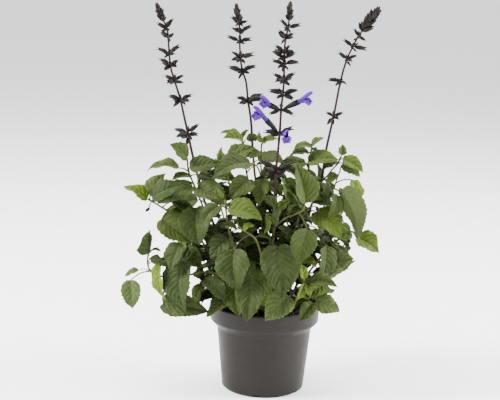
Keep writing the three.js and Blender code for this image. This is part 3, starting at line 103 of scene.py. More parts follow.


# A stem: its node, its half diagonals at its foot and its tip, and its route from there, or from inside the
# stem that it branches from, to its tip. Then its leaves: each blade's base, its tip, its width, the turn of
# its face in degrees, its tone, and PAIR where the rule adds the second leaf of its pair. filler: the pairs
# of leaves that the rule adds. buds: the cluster's node, the point that it reaches, and how many buds.
# A leaf's tone in this table is partly painted light and shade: shaded leaves are listed DARK and well-lit ones
# lighter.
STEMS = [
    stem("stem_3", [2.8, 2.3], [[8, -30], [10, -46, 271], [11, -54, 329], [12, -56, 348]], [
      [16, -96, 270, 26, -128, 192, 69, 0, DARK, PAIR], [13, -62, 329, -11, -70, 348, 24, 0, MID],
      [18, -62, 327, 36, -66, 344, 18, 0, LIGHT], [-3, -70, 320, -3, -78, 287, 23, -60, LIGHT],
      [14, -66, 299, 21, -70, 334, 21, -50, DARK], [-2, -60, 268, -40, -80, 266, 29, 20, MID]], filler=1),
    stem("stem_3", [1.6, 1.5], [
      [10, -48, 292], [28, -62, 311], [48, -75, 323], [57, -82, 330], [58, -84, 338]], [
      [61, -84, 343, 45, -78, 406, 47, -10, MID], [52, -88, 336, 19, -94, 375, 30, 10, MID],
      [64, -92, 299, 51, -106, 245, 45, 0, MID]]),
    stem("stem_3", [0.9, 1.1], [[57, -82, 331], [66, -81, 335], [74, -80, 336]],
      buds=["bud_cluster_1", [83, -80, 329], 2]),
    stem("shoot_centre_front", [2.4, 1.5], [
      [-12, -52], [-8, -70, 238], [-19, -85, 278], [-36, -92, 293], [-47, -96, 302], [-50, -97, 310]], [
      [-51, -98, 300, -77, -104, 305, 18, 10, LIGHT],
      [-41, -100, 299, -23, -106, 308, 15, 0, YOUNG],
      [-54, -112, 268, -47, -130, 202, 58, 0, DARK, PAIR],
      [-25, -110, 222, -31, -132, 151, 47, 0, DARK, PAIR],
      [-1, -78, 230, -4, -96, 166, 44, 0, LIGHT]], filler=1),
    stem("shoot_right_front", [2.3, 1.5], [
      [46, -50], [51, -75, 176], [58, -92, 197], [62, -98, 211], [62, -99, 220]], [
      [38, -112, 190, 0, -130, 152, 47, 0, GREY], [77, -98, 177, 57, -110, 149, 25, 0, MID],
      [69, -104, 213, 118, -102, 207, 29, 0, MID], [62, -100, 218, 55, -96, 244, 19, 0, YOUNG],
      [62, -106, 210, 52, -122, 188, 18, -30, YOUNG], [67, -108, 210, 72, -118, 193, 14, 0, YOUNG]]),
    stem("shoot_right_front", [0.9, 1.1], [[61, -97, 209], [56, -100, 206], [51, -101, 203]],
      buds=["bud_cluster_2", [38, -102, 191], 3]),
    stem("shoot_centre_left", [2.3, 1.5], [
      [-30, -48], [-48, -66, 236], [-64, -80, 293], [-70, -86, 331], [-72, -86, 344]], [
      [-64, -98, 332, -9, -104, 319, 43, 0, LIGHT], [-81, -88, 334, -106, -96, 308, 29, -20, DARK],
      [-65, -84, 280, -94, -98, 249, 35, -30, DARK, PAIR],
      [-77, -84, 344, -87, -80, 363, 15, 0, LIGHT], [-59, -80, 177, -98, -96, 148, 34, 0, MID],
      [-50, -74, 200, -42, -92, 150, 38, 0, MID]], filler=1),
    stem("shoot_centre_left", [0.9, 1.1], [[-70, -86, 330], [-75, -90, 334], [-79, -93, 331]],
      buds=["bud_cluster_3", [-84, -94, 314], 3]),
    stem("shoot_left_low", [2.5, 1.5], [
      [-66, -38], [-81, -52, 209], [-106, -54, 214], [-136, -56, 207], [-170, -56, 204],
      [-194, -54, 213], [-200, -52, 228], [-199, -50, 240]], [
      [-195, -50, 245, -197, -66, 287, 50, -10, MID],
      [-227, -60, 198, -224, -66, 149, 34, -60, GREY],
      [-215, -46, 212, -240, -40, 199, 13, -30, LIGHT],
      [-136, -72, 235, -134, -96, 157, 62, -10, DARK],
      [-178, -64, 226, -168, -72, 168, 36, 0, YOUNG], [-172, -62, 160, -94, -76, 151, 42, 45, DARK],
      [-102, -78, 206, -65, -100, 174, 31, -20, DARK], [-83, -92, 190, -55, -112, 152, 33, 0, DARK],
      [-103, -44, 192, -113, -52, 152, 34, 0, LIGHT], [-152, -40, 216, -171, -30, 245, 25, 0, DARK],
      [-194, -50, 236, -165, -56, 223, 20, 0, MID]]),
    stem("shoot_left_low", [0.9, 1.1], [[-199, -53, 222], [-194, -55, 229], [-188, -56, 232]],
      buds=["bud_cluster_4", [-163, -57, 232], 4]),
    stem("shoot_left_high", [2.5, 1.5], [
      [-62, -10], [-87, -20, 224], [-130, -40, 286], [-160, -50, 311], [-180, -52, 324],
      [-201, -52, 336]], [
      [-197, -50, 341, -174, -44, 380, 37, 30, MID],
      [-202, -56, 336, -239, -60, 359, 29, -20, YOUNG],
      [-192, -58, 340, -141, -62, 365, 39, 30, DARK], [-176, -64, 305, -124, -80, 269, 54, 0, MID],
      [-169, -38, 312, -131, -22, 296, 31, 60, YOUNG], [-133, -40, 255, -108, -46, 217, 32, 0, MID],
      [-143, -48, 262, -160, -56, 215, 40, -20, DARK], [-108, -30, 253, -140, -44, 219, 34, 0, DARK]]),
    stem("shoot_left_high", [0.9, 1.1], [[-193, -52, 332], [-196, -55, 330], [-197, -57, 326]],
      buds=["bud_cluster_5", [-202, -57, 315], 2]),
    stem("shoot_left_top", [2.4, 1.5], [
      [-48, -22], [-88, -30, 264], [-109, -38, 322], [-121, -40, 351], [-134, -42, 382],
      [-137, -44, 405]], [
      [-137, -46, 406, -165, -58, 430, 32, -70, LIGHT],
      [-132, -50, 391, -80, -50, 400, 35, 30, MID],
      [-150, -50, 389, -202, -56, 389, 31, -10, LIGHT],
      [-143, -36, 407, -157, -26, 412, 14, 0, MID], [-131, -50, 375, -161, -62, 371, 26, -10, MID],
      [-119, -54, 357, -67, -76, 334, 44, 0, MID],
      [-118, -62, 325, -113, -86, 266, 55, -30, DARK, PAIR],
      [-127, -40, 356, -185, -52, 328, 38, -45, GREY]], filler=1),
    stem("shoot_top_right", [2.4, 1.5], [
      [34, -14], [40, -16, 248], [55, -18, 318], [65, -18, 370], [68, -16, 404], [71, -15, 426]], [
      [71, -16, 428, 90, -16, 444, 15, 0, LIGHT], [71, -16, 428, 39, -24, 423, 21, 0, LIGHT],
      [66, -20, 418, 34, -32, 415, 21, 0, MID], [71, -18, 424, 79, -24, 417, 10, 40, MID],
      [65, -24, 403, 116, -34, 411, 40, 30, LIGHT], [62, -24, 400, 11, -40, 389, 36, 0, MID],
      [58, -26, 354, 90, -40, 340, 30, 40, MID, PAIR], [27, -30, 374, 37, -50, 324, 39, 0, LIGHT],
      [58, 20, 363, 18, 30, 385, 34, -45, DARK]], filler=1),
    stem("stem_4", [2.7, 2.3], [[40, 8], [62, 4, 279], [78, 0, 334], [89, -2, 368]], [
      [76, -28, 332, 117, -44, 325, 27, 20, LIGHT],
      [81, -24, 316, 124, -52, 279, 48, 40, LIGHT, PAIR],
      [50, -6, 253, 9, -30, 243, 37, -10, DARK, PAIR], [81, 0, 360, 81, 0, 403, 34, 0, MID]], filler=1),
    stem("stem_4", [1.5, 1.5], [
      [87, -2, 361], [99, -6, 376], [108, -10, 389], [116, -12, 399], [121, -14, 412]], [
      [124, -18, 407, 159, -24, 388, 28, 40, LIGHT], [122, -14, 413, 123, -12, 432, 15, -60, LIGHT],
      [114, -12, 403, 89, -22, 388, 23, 0, MID], [126, -10, 398, 151, 4, 406, 22, 0, MID]]),
    stem("stem_4", [1.5, 1.5], [
      [87, -2, 359], [101, -10, 357], [111, -16, 356], [121, -22, 352], [129, -26, 344]], [
      [123, -32, 359, 156, -44, 276, 46, -75, GREY], [114, -30, 348, 100, -40, 308, 30, 0, MID],
      [107, 0, 358, 83, -8, 339, 26, -45, MID]]),
    stem("stem_4", [1.3, 1.1], [[111, -16, 356], [115, -18, 373], [119, -20, 385], [121, -20, 396]], [
      [143, -26, 373, 148, -32, 327, 35, 30, YOUNG], [114, -24, 382, 96, -34, 367, 16, 0, MID],
      [121, -20, 397, 155, -20, 378, 20, 60, GREY]]),
    stem("shoot_right_low", [2.4, 1.5], [
      [60, -10], [67, -20, 197], [94, -30, 242], [120, -34, 271], [139, -36, 286], [148, -36, 285]], [
      [142, -40, 287, 105, -52, 282, 33, -30, LIGHT], [150, -40, 277, 189, -46, 253, 38, 40, LIGHT],
      [98, -60, 266, 93, -72, 209, 42, 0, MID], [106, -58, 238, 146, -66, 247, 40, 40, GREY],
      [85, -72, 176, 125, -80, 160, 35, 40, GREY], [120, -30, 258, 136, -14, 222, 25, 60, DARK],
      [105, -20, 202, 149, -30, 238, 32, -60, DARK], [98, -50, 198, 65, -66, 177, 30, 0, LIGHT]], filler=1),
    stem("shoot_right_low", [1.0, 1.1], [[101, -32, 252], [96, -42, 266], [94, -46, 280]],
      buds=["bud_cluster_6", [108, -52, 284], 3]),
    stem("shoot_right_low", [1.0, 1.1], [[96, -31, 245], [96, -50, 240], [93, -68, 234]],
      buds=["bud_cluster_7", [76, -80, 221], 4]),
    stem("stem_1", [2.7, 2.3], [[-36, 3], [-62, 2, 209], [-84, 0, 267], [-111, -5, 335], [-124, -8, 383]], [
      [-104, -28, 370, -51, -46, 367, 37, 10, MID, PAIR],
      [-120, -16, 330, -162, -14, 307, 38, -40, DARK, PAIR],
      [-76, -12, 243, -34, -30, 228, 36, 10, DARK, PAIR], [-66, 0, 295, -95, -10, 268, 30, 0, MID],
      [-93, 0, 385, -123, -14, 358, 26, 0, MID]], filler=2),
    stem("stem_2", [2.7, 2.2], [[8, 24], [4, 28, 219], [-13, 36, 314], [-23, 42, 363], [-28, 45, 406]], [
      [-11, 36, 362, 30, 30, 375, 36, 70, LIGHT, PAIR],
      [-20, 32, 324, -54, 40, 296, 36, -70, DARK, PAIR],
      [-19, 44, 392, 5, 40, 404, 20, 70, LIGHT, PAIR]], filler=2),
    stem("shoot_top_left", [2.3, 1.5], [
      [-22, -8], [-39, -20, 264], [-58, -30, 334], [-70, -34, 377], [-75, -34, 399]], [
      [-74, -36, 398, -81, -40, 425, 20, 30, LIGHT], [-67, -38, 398, -25, -44, 427, 37, 30, MID],
      [-79, -40, 386, -102, -44, 403, 21, -20, MID],
      [-61, -40, 353, -90, -54, 327, 33, -40, DARK, PAIR]], filler=1),
    stem("shoot_top_middle", [2.3, 1.5], [
      [20, -8], [2, -10, 263], [-7, -5, 348], [-14, 0, 390], [-14, 0, 416], [-13, 0, 428]], [
      [-11, 0, 430, -19, 0, 448, 15, 40, LIGHT], [-13, -2, 428, 14, -6, 438, 20, 20, LIGHT],
      [-31, -18, 394, -92, -50, 377, 50, 0, DARK], [-11, -6, 408, 25, -24, 399, 27, 0, MID],
      [-16, -4, 413, -34, -16, 404, 18, -50, MID], [-1, -24, 365, 24, -44, 346, 27, 0, LIGHT, PAIR],
      [-11, -20, 368, -17, -46, 328, 30, 0, LIGHT], [20, 10, 303, 52, 0, 274, 34, 0, DARK]], filler=1),
    stem("shoot_top_centre", [2.3, 1.5], [
      [-6, 10], [-18, 8, 258], [-27, 12, 336], [-37, 16, 370], [-45, 18, 412], [-47, 18, 431]], [
      [-49, 18, 433, -84, 14, 443, 26, -40, LIGHT], [-45, 16, 427, -79, 6, 434, 28, -40, LIGHT],
      [-47, 18, 433, -37, 20, 448, 12, 50, LIGHT], [-40, 18, 432, -15, 14, 433, 19, -40, GREY],
      [-32, -14, 366, -66, -44, 338, 39, -30, MID],
      [-40, 12, 410, -56, -4, 398, 20, -70, MID, PAIR], [-20, 20, 387, 27, 10, 393, 20, 0, MID]], filler=1),
    stem("shoot_back_left", [2.5, 1.5], [[-30, 40], [-52, 68, 220], [-80, 92, 290], [-96, 104, 348]], filler=4),
    stem("shoot_back_middle", [2.5, 1.5], [[6, 56], [12, 88, 225], [14, 112, 300], [10, 122, 360]], filler=4),
    stem("shoot_back_right", [2.5, 1.5], [[48, 40], [74, 66, 215], [100, 84, 280], [116, 94, 338]], filler=4),
    stem("shoot_back_low_left", [2.4, 1.5], [[-58, 24], [-88, 50, 196], [-124, 72, 232], [-150, 84, 262]], filler=3),
    stem("shoot_back_low_right", [2.4, 1.5], [[66, 16], [96, 40, 190], [124, 56, 218], [142, 64, 250]], filler=3),
    stem("shoot_back_low", [2.3, 1.5], [[28, 66], [34, 96, 184], [46, 124, 206], [52, 140, 236]], filler=2),
]

# A spike: its route, the end of its tip, and its whorls: each whorl's height, then the calyces on its left
# and on its right, each with its rise in degrees and its length. A flower: its calyx's height, the calyx's
# mouth, the corolla's throat, and the tips of its hood and lower lip. more: single calyces, each with its
# height, its rise, its length and its bearing.
SPIKES = [
    spike(1, [
      [-132, -10, 415], [-138, -12, 442], [-144, -14, 467], [-152, -17, 501], [-161, -20, 529],
      [-168, -22, 552], [-171, -24, 576], [-173, -26, 601], [-175, -27, 617], [-182, -28, 632]],
      [-193, -30, 657], [
      [443, [[12, 20], [-6, 22], [-24, 18], [-62, 15]], [[38, 20], [-8, 19]]],
      [500, [[16, 19], [-4, 18], [-28, 15]], [[24, 18], [2, 18], [-30, 12]]],
      [531, [[26, 17], [4, 17], [-22, 12]], [[34, 15], [-6, 15]]],
      [557, [[26, 18], [10, 20], [-14, 14]], [[30, 14], [0, 15]]],
      [576, [[22, 18], [-24, 10]], [[38, 19], [8, 11]]],
      [603, [[38, 14], [26, 17]], [[40, 10], [32, 14]]], [617, [[28, 17], [60, 8]], [[60, 17]]]]),
    spike(2, [
      [-32, 47, 452], [-35, 48, 473], [-39, 50, 494], [-43, 51, 525], [-50, 53, 545],
      [-54, 55, 567], [-56, 57, 595], [-56, 58, 611], [-59, 60, 630]],
      [-64, 60, 657], [
      [494, [[12, 18], [-4, 18], [-24, 14]], [[26, 17], [4, 16], [-20, 13]]],
      [545, [[12, 22], [0, 20], [-42, 13]], [[20, 20], [-6, 14], [50, 11]]],
      [567, [[32, 15], [-3, 19], [-30, 11]], [[16, 21], [-36, 13]]],
      [595, [[20, 19], [-18, 9]], [[10, 18], [30, 10]]],
      [611, [[22, 13], [48, 11]], [[28, 19], [6, 10]]],
      [625, [[42, 16], [14, 10]], [[16, 14], [40, 8]]]],
      more=[[497, 14, 25, 8], [496, 0, 27, -12]]),
    spike(3, [
      [11, -58, 369], [11, -60, 390], [13, -62, 423], [15, -64, 453], [16, -66, 493],
      [18, -67, 519], [19, -68, 543], [18, -70, 587], [20, -70, 610], [23, -70, 626], [24, -70, 641]],
      [25, -70, 667], [
      [391, [[28, 25], [12, 24], [-28, 20]], [[22, 26], [2, 24], [-16, 18]]],
      [453, [[6, 22], [-8, 17], [-78, 11]], [[26, 20], [8, 17]]],
      [493, [[-22, 18], [8, 11]], [[-22, 19], [-6, 15]]],
      [519, [[10, 21], [-24, 14], [50, 15]], [[16, 21], [-12, 21], [2, 14]]],
      [543, [[24, 17], [2, 18]], [[30, 18], [6, 18], [-20, 13]]],
      [568, [[14, 17], [-22, 14], [-70, 10]], [[8, 20], [-36, 10]]],
      [577, [[28, 18], [2, 12]], [[26, 18]]],
      [587, [[34, 16], [8, 20]], [[50, 13], [10, 19], [-4, 12]]],
      [610, [[46, 15], [32, 18]], [[30, 13], [8, 15]]],
      [626, [[46, 15], [12, 9]], [[16, 18], [56, 9]]]],
      flowers=[
      [493, [-2, -80, 501], [-9, -84, 508], [-19, -88, 516], [-16, -93, 501]],
      [453, [-6, -76, 475], [-17, -85, 487], [-30, -91, 499], [-30, -94, 482]],
      [493, [42, -77, 507], [51, -82, 512], [66, -86, 525], [64, -90, 509]],
      [453, [21, -81, 456], [25, -92, 455], [26, -104, 463], [26, -103, 444]]]),
    spike(4, [
      [96, -4, 421], [102, -5, 456], [106, -6, 478], [115, -8, 537], [124, -9, 574],
      [133, -10, 595], [141, -10, 612], [149, -10, 624]],
      [173, -10, 659], [
      [478, [[24, 13], [-32, 17]], [[20, 15], [-16, 13], [-80, 9]]],
      [537, [[4, 18], [40, 9], [-20, 11]], [[-24, 10], [12, 8]]],
      [574, [[38, 16], [80, 9]], [[22, 15], [-4, 13], [-32, 10]]],
      [595, [[36, 17], [52, 9]], [[-8, 20], [-36, 9]]],
      [612, [[60, 13]], [[-28, 13], [10, 10], [36, 9]]]]),
]


# ---------------------------------------------------------------- rules of growth
CLEAR_OF_OTHERS, CLEAR_OF_OWN, CLEAR_OF_RIM, NEAR_ROOT = 5.5, 3, 4, 14
CLEAR_OF_SOIL = 1.5 * CLEAR_OF_RIM
PARTNER_DROP = 1.2
WHORL_STEP = 1.4
CALYX_FAN = (0, 46, -46, 80)
DEEP_CALYX_LIFTS, DEEP_CALYX_LENGTHS = (5, 30), (13, 16)
HOOD_ARCH = 0.12
LEAF_RANGES = {"fold": (0.14, 0.42), "arch": (0.05, 0.12), "wave": (0.015, 0.04), "phase": (0, 2 * math.pi),
               "lobe": (0.04, 0.1)}
LOBE_SPAN = 0.1
BLADE_FULLNESS = 2.6
MARGIN_WAVES = 13
STALK_BEND = 0.12
DOME_CENTRE = np.array([-28, 22, 250.0])
DOME_RADII = np.array([172, 172, 168.0])
FILLER_FRONT = -64
CROWN_GAPS = np.array([[-56, 368], [-72, 340], [-34, 378], [-102, 320], [-15, 394], [-121, 337],
                       [-146, 378], [-181, 337], [104, 385], [51, 425]], float)
CROWN_GAP_RADIUS = 11
LINE_OF_SIGHT = np.array([0, 1, -0.186])
SLIDES = (0, -6, 6, -12, 12, -18, 18, -25, 25, -33, 33, -42, 42, -52, 52)
LISTED_SIZES = (1, 0.85, 0.7)
PARTNER_SIZES, PARTNER_TURNS = (0.95, 0.8, 0.65), (180, 155, 205, 130, 230)
FILLER_LENGTHS, FILLER_WIDTH, FILLER_STALK = (70, 46), 0.66, (0.32, 0.16)
FILLER_SIZES, FILLER_DROOPS, FILLER_SWINGS = (1, 0.8, 0.6), (0.35, 0.75, 0, 1.1), (0, 0.4, -0.4, 0.8, -0.8)
# DARK among these is partly painted shade for leaves inside the plant.
FILLER_TONES = (DARK, MID, DARK, MID, LIGHT)
FILLER_SPIRAL = 0.7
SMALL_APART, SMALL_STALK, AXIL_WIDTH, INNER_WIDTH = 1.6, 0.4, 0.62, 0.64
BUDS_IN_SIGHT = 7
AXIL_SHARE, AXIL_LENGTHS, AXIL_HANDS, AXIL_FIRST = 0.5, (17, 36), (1, -1, 0.2), 1001
AXIL_RANGES = {
    "size": (0.75, 1.1), "rise": (0.1, 0.9), "spread": (0.5, 1.0), "droop": (0.1, 0.9), "shade": (0, 1),
}
# The share of axil leaves that are given the DARK tone, as painted shade inside the plant.
AXIL_DARK = 0.6
INNER_STEP, INNER_TOP, INNER_LENGTHS, INNER_FIRST = 9, 0.92, (26, 50), 2001
INNER_TURNS = (0, 1.3, 2.6, 3.9, 5.2)
INNER_RANGES = {"swing": (-0.4, 0.4), "rise": (0.1, 0.7), "droop": (0.0, 1.0)}
GOLDEN_TURN = 2.4
STEM_STEP, SPIKE_STEP, DOT_STEP, BLADE_DOTS = 42, 40, 4, (6, 7)
UP = np.array([0.0, 0.0, 1.0])
FRONT = np.array([0.0, -1.0, 0.0])


class Draws:
    """Draws numbers from 0 to 1, the same on every run."""

    def __init__(self, seed):
        self.state = (seed * 7919 + 104729) % 2147483647
        self.next()
        self.next()

    def next(self):
        self.state = (48271 * self.state) % 2147483647
        return self.state / 2147483647

    def between(self, low, high):
        return low + (high - low) * self.next()

    def each(self, ranges):
        """One number from each of the named ranges, in their order."""
        return types.SimpleNamespace(**{name: self.between(*limits) for name, limits in ranges.items()})


def vec(values):
    return np.array(values, float)


def unit(v):
    return v / np.linalg.norm(v)


def square_to(v, d):
    """The part of v that is square to the unit vector d, at unit length."""
    return unit(v - d * (v @ d))


def heading(rise, bearing):
    """A direction from its rise and its bearing in degrees."""
    rise, turn = math.radians(rise), math.radians(bearing)
    return vec([math.cos(rise) * math.cos(turn), math.cos(rise) * math.sin(turn), math.sin(rise)])


def level(bearing):
    """A level direction from its bearing in radians."""
    return vec([math.cos(bearing), math.sin(bearing), 0])


def turned(v, axis, degrees):
    """v turned about a unit axis: v cos + (axis x v) sin + axis (axis . v) (1 - cos)."""
    c, s = math.cos(math.radians(degrees)), math.sin(math.radians(degrees))
    return v * c + np.cross(axis, v) * s + axis * (axis @ v) * (1 - c)


def steps(a, b, count):
    """Points that divide the way from a to b, without a itself."""
    return a + (b - a) * (np.arange(1, count + 1) / count)[:, None]


def dotted(points, step):
    """Points every step or less along straight lines between the given points."""
    points = vec(points)
    spans = zip(points[:-1], points[1:])
    return np.vstack([points[:1], *(steps(a, b, max(1, math.ceil(np.linalg.norm(b - a) / step)))
                                    for a, b in spans)])


def spline_points(route, counts):
    """A smooth curve through a route: each span is the cubic whose slope at a point is half the step
    between its neighbours. counts gives the number of pieces of each span."""
    p = np.vstack([2 * route[0] - route[1], route, 2 * route[-1] - route[-2]])
    points = [route[0]]
    for i, count in enumerate(counts):
        a, b, c, d = p[i:i + 4]
        u = (np.arange(1, count + 1) / count)[:, None]
        bend, twist = a - 2.5 * b + 2 * c - 0.5 * d, 1.5 * (b - c) + 0.5 * (d - a)
        points.extend(b + (c - a) / 2 * u + bend * u * u + twist * u * u * u)
    return np.array(points)


def smooth_route(route, step, straight_foot):
    """Points of a smooth curve through a route, about one every step, with its first span kept straight
    and whole if asked."""
    route = vec(route)
    spans = np.linalg.norm(np.diff(route, axis=0), axis=1)
    counts = [max(1, math.floor(span / step + 0.5)) for span in spans]
    if straight_foot:
        counts[0] = 1
        return np.vstack([route[:2], spline_points(route, counts)[2:]])
    return spline_points(route, counts)


def nearest(points, p):
    return int(np.argmin(((points - p) ** 2).sum(1)))


def at_height(dots, z):
    return dots[int(np.argmin(np.abs(dots[:, 2] - z)))]


def seen(points):
    """Where points lie as seen from the front: across, and up along the line of sight."""
    return np.stack([points[:, 0], points[:, 2] - LINE_OF_SIGHT[2] * points[:, 1]], axis=1)


def make_leaf(row, index, stem):
    """One leaf's shape: from its table row, with the small differences that its own draws give it."""
    own = vars(Draws(index).each(LEAF_RANGES))
    return dict(own, base=vec(row[0:3]), tip=vec(row[3:6]), width=row[6], turn=row[7], tone=row[8],
                stem=stem, index=index)


def leaf_frame(leaf):
    """The blade's directions: a along it, n out of its upper face, s to its right, and its length."""
    length = np.linalg.norm(leaf["tip"] - leaf["base"])
    a = (leaf["tip"] - leaf["base"]) / length
    outward = unit(vec([leaf["base"][0], leaf["base"][1], 0]))
    flat = square_to(UP + 0.8 * outward, a)
    turn = math.radians(leaf["turn"])
    n = unit(flat * math.cos(turn) + np.cross(a, flat) * math.sin(turn))
    return a, n, np.cross(a, n), length


def half_width(leaf, t):
    """Half the blade's width at t from 0 at its base to 1 at its tip: 1.3 w t^0.5 (1 - t)."""
    return 0.5 * leaf["width"] * BLADE_FULLNESS * np.sqrt(t) * (1 - t)


def blade_point(leaf, axes, t, u):
    """Points of the blade at t along it and u across it, from -1 to 1. The base's corners sweep back past
    the stalk, the sides fold up from the midrib, the whole blade arches, and its margins wave."""
    a, n, s, length = axes
    half, out = half_width(leaf, t), np.abs(u)
    back = leaf["lobe"] * length * out * np.exp(-t / LOBE_SPAN)
    arch = leaf["arch"] * length * 4 * t * (1 - t)
    wave = leaf["wave"] * length * out * out * np.sin(MARGIN_WAVES * t + leaf["phase"] + np.where(u > 0, 2, 0))
    height = arch + wave + leaf["fold"] * out * half
    along = t * length - back
    return leaf["base"] + along[..., None] * a + (u * half)[..., None] * s + height[..., None] * n


def stalk_line(leaf):
    """The stalk's bent line from the stem to the blade's base."""
    root, base = leaf["root"], leaf["base"]
    return [root, (root + base) / 2 + UP * STALK_BEND * np.linalg.norm(root - base), base]


def leaf_dots(leaf):
    """Points all over the leaf, close enough to tell whether anything crosses it."""
    axes = leaf_frame(leaf)
    rows, columns = (math.ceil(span / step) + 1 for span, step in zip((axes[3], leaf["width"]), BLADE_DOTS))
    t = 0.04 + (0.94 * np.arange(rows + 1)) / rows
    u = -0.95 + (1.9 * np.arange(columns + 1)) / columns
    tt, uu = np.meshgrid(t, u, indexing="ij")
    return np.vstack([dotted(stalk_line(leaf), 5), blade_point(leaf, axes, tt, uu).reshape(-1, 3)])


def root_on(stem, base, order):
    """Where the leaf leaves its stem: the nearest point to one a little below the blade's base. Leaves
    that would all start at the stem's very tip start one below the other."""
    dots = stem["dots"]
    below = base - UP * 0.5 * np.linalg.norm(base - dots[nearest(dots, base)])
    return dots[max(1, min(nearest(dots, below), len(dots) - 1 - order % 4))]


class Growth:
    """Everything that is placed so far, and the rules that place the rest clear of it."""

    def __init__(self):
        self.points = np.zeros((0, 3))
        self.owners = np.zeros(0, int)
        self.names = {}
        self.leaves = []

    def occupy(self, dots, node):
        owner = self.names.setdefault(node, len(self.names))
        self.points = np.vstack([self.points, dots])
        self.owners = np.append(self.owners, np.full(len(dots), owner))

    def clear(self, leaf, apart):
        """Whether the leaf keeps off the pot and the soil, and its distance from all that is placed. Near
        its own root it may meet its stem."""
        dots = leaf_dots(leaf)
        r, z = np.hypot(dots[:, 0], dots[:, 1]), dots[:, 2]
        in_mouth = (r < RIM_RADIUS - 2 * CLEAR_OF_RIM) & (z > SOIL_TOP + CLEAR_OF_SOIL)
        off_pot = in_mouth | (r > RIM_RADIUS + CLEAR_OF_RIM) | (z > POT_HEIGHT + CLEAR_OF_RIM)
        if not np.all((z > CLEAR_OF_SOIL) & off_pot):
            return False
        near = np.all((self.points > dots.min(0) - apart) & (self.points < dots.max(0) + apart), axis=1)
        own = self.owners == self.names[leaf["stem"]["node"]]
        at_root = own & (np.linalg.norm(self.points - leaf["root"], axis=1) < NEAR_ROOT)
        for mask, limit in ((near & own & ~at_root, min(apart, CLEAR_OF_OWN)), (near & ~own, apart)):
            others = self.points[mask]
            if len(others) and np.min(((dots[:, None] - others[None]) ** 2).sum(2)) < limit * limit:
                return False
        return True

    def off(self, leaf, marks, radius):
        """Whether the leaf, as seen from the front, keeps off marks that have a radius."""
        apart = np.linalg.norm(seen(leaf_dots(leaf))[:, None] - marks[None], axis=2)
        return bool(np.all(apart > radius))

    def in_place(self, leaf):
        """Whether a leaf stays inside the dome, behind the front and out of the crown's gaps."""
        inside = np.linalg.norm((leaf["tip"] - DOME_CENTRE) / DOME_RADII) <= 1
        return inside and leaf["tip"][1] >= FILLER_FRONT and self.off(leaf, CROWN_GAPS, CROWN_GAP_RADIUS)

    def keep(self, leaf):
        self.occupy(leaf_dots(leaf), leaf["stem"]["node"])
        self.leaves.append(leaf)
        return leaf

    def keep_first(self, leaves):
        """Keeps the first of the leaves to try that is clear and in place."""
        for leaf in leaves:
            if self.clear(leaf, CLEAR_OF_OTHERS) and self.in_place(leaf):
                return self.keep(leaf)

    def keep_small(self, stem, root, base, tip, width, tone, first):
        """Keeps a small leaf if it is clear, in place and leaves the buds in sight, and says whether it is."""
        leaf = make_leaf([*base, *tip, width, 0, tone], len(self.leaves) + first, stem)
        leaf.update(root=root, small=True)
        fits = (self.clear(leaf, SMALL_APART) and self.in_place(leaf)
                and self.off(leaf, self.buds, BUDS_IN_SIGHT))
        return fits and bool(self.keep(leaf))

    def grow_listed(self, row, stem, order):
        """A leaf of the table slides along the line of sight until it is clear, and is made smaller only
        if that fails."""
        for size, slide in itertools.product(LISTED_SIZES, SLIDES):
            leaf = make_leaf(row, len(self.leaves) + 1, stem)
            leaf["base"] += LINE_OF_SIGHT * slide
            leaf["tip"] += LINE_OF_SIGHT * slide
            leaf["tip"] += (leaf["base"] - leaf["tip"]) * (1 - size)
            leaf["width"] *= size
            leaf["root"] = root_on(stem, leaf["base"], order)
            if self.clear(leaf, CLEAR_OF_OTHERS):
                return self.keep(leaf)

    def partners(self, first):
        """The second leaf of a pair: the first one turned half round the stem, or nearly so."""
        root = first["root"] - UP * PARTNER_DROP
        for size, angle in itertools.product(PARTNER_SIZES, PARTNER_TURNS):
            base = root + turned(first["base"] - first["root"], UP, angle)
            tip = base + turned(first["tip"] - first["base"], UP, angle) * size
            yield dict(first, index=len(self.leaves) + 1, turn=0, root=root, base=base, tip=tip,
                       width=first["width"] * size)

    def fillers(self, stem, root, bearing, full):
        """Leaves on a stalk that leaves the stem at a bearing, and then leans out and down: sizes, droops
        and bearings are tried in turn."""
        for size, droop, swing in itertools.product(FILLER_SIZES, FILLER_DROOPS, FILLER_SWINGS):
            out, length = level(bearing + swing), full * size
            base = root + out * length * FILLER_STALK[0] + UP * length * FILLER_STALK[1]
            tip = base + out * length * math.cos(droop) - UP * length * math.sin(droop)
            tone = FILLER_TONES[len(self.leaves) % len(FILLER_TONES)]
            row = [*base, *tip, length * FILLER_WIDTH, 0, tone]
            yield dict(make_leaf(row, len(self.leaves) + 1, stem), root=root)

    def grow_fillers(self, stem, order):
        """Pairs of filler leaves up a stem, each pair square to the last, larger below than above."""
        above = stem["dots"][stem["dots"][:, 2] > POT_HEIGHT + 2 * CLEAR_OF_RIM]
        for pair in range(stem["filler"]):
            rise = (pair + 0.4) / stem["filler"]
            root = above[min(len(above) - 1, math.floor(rise * len(above)))]
            bearing = order * FILLER_SPIRAL + (pair * math.pi) / 2
            length = FILLER_LENGTHS[0] + (FILLER_LENGTHS[1] - FILLER_LENGTHS[0]) * rise
            self.keep_first(self.fillers(stem, root, bearing, length))
            self.keep_first(self.fillers(stem, root, bearing + math.pi, length))

    def grow_axils(self, parent):
        """Young leaves in the angle between a leaf's stalk and its stem, where they are clear."""
        draws = Draws(parent["index"] + SEEDS["axil"])
        stalk = unit(parent["base"] - parent["root"])
        side = unit(np.cross(stalk, UP))
        share = AXIL_SHARE * np.linalg.norm(parent["tip"] - parent["base"])
        for hand in AXIL_HANDS:
            own = draws.each(AXIL_RANGES)
            length = np.clip(share * own.size, *AXIL_LENGTHS)
            d = unit(0.8 * stalk + own.rise * UP + hand * own.spread * side)
            base = parent["root"] + SMALL_STALK * length * d
            tip = base + length * unit(d - own.droop * UP)
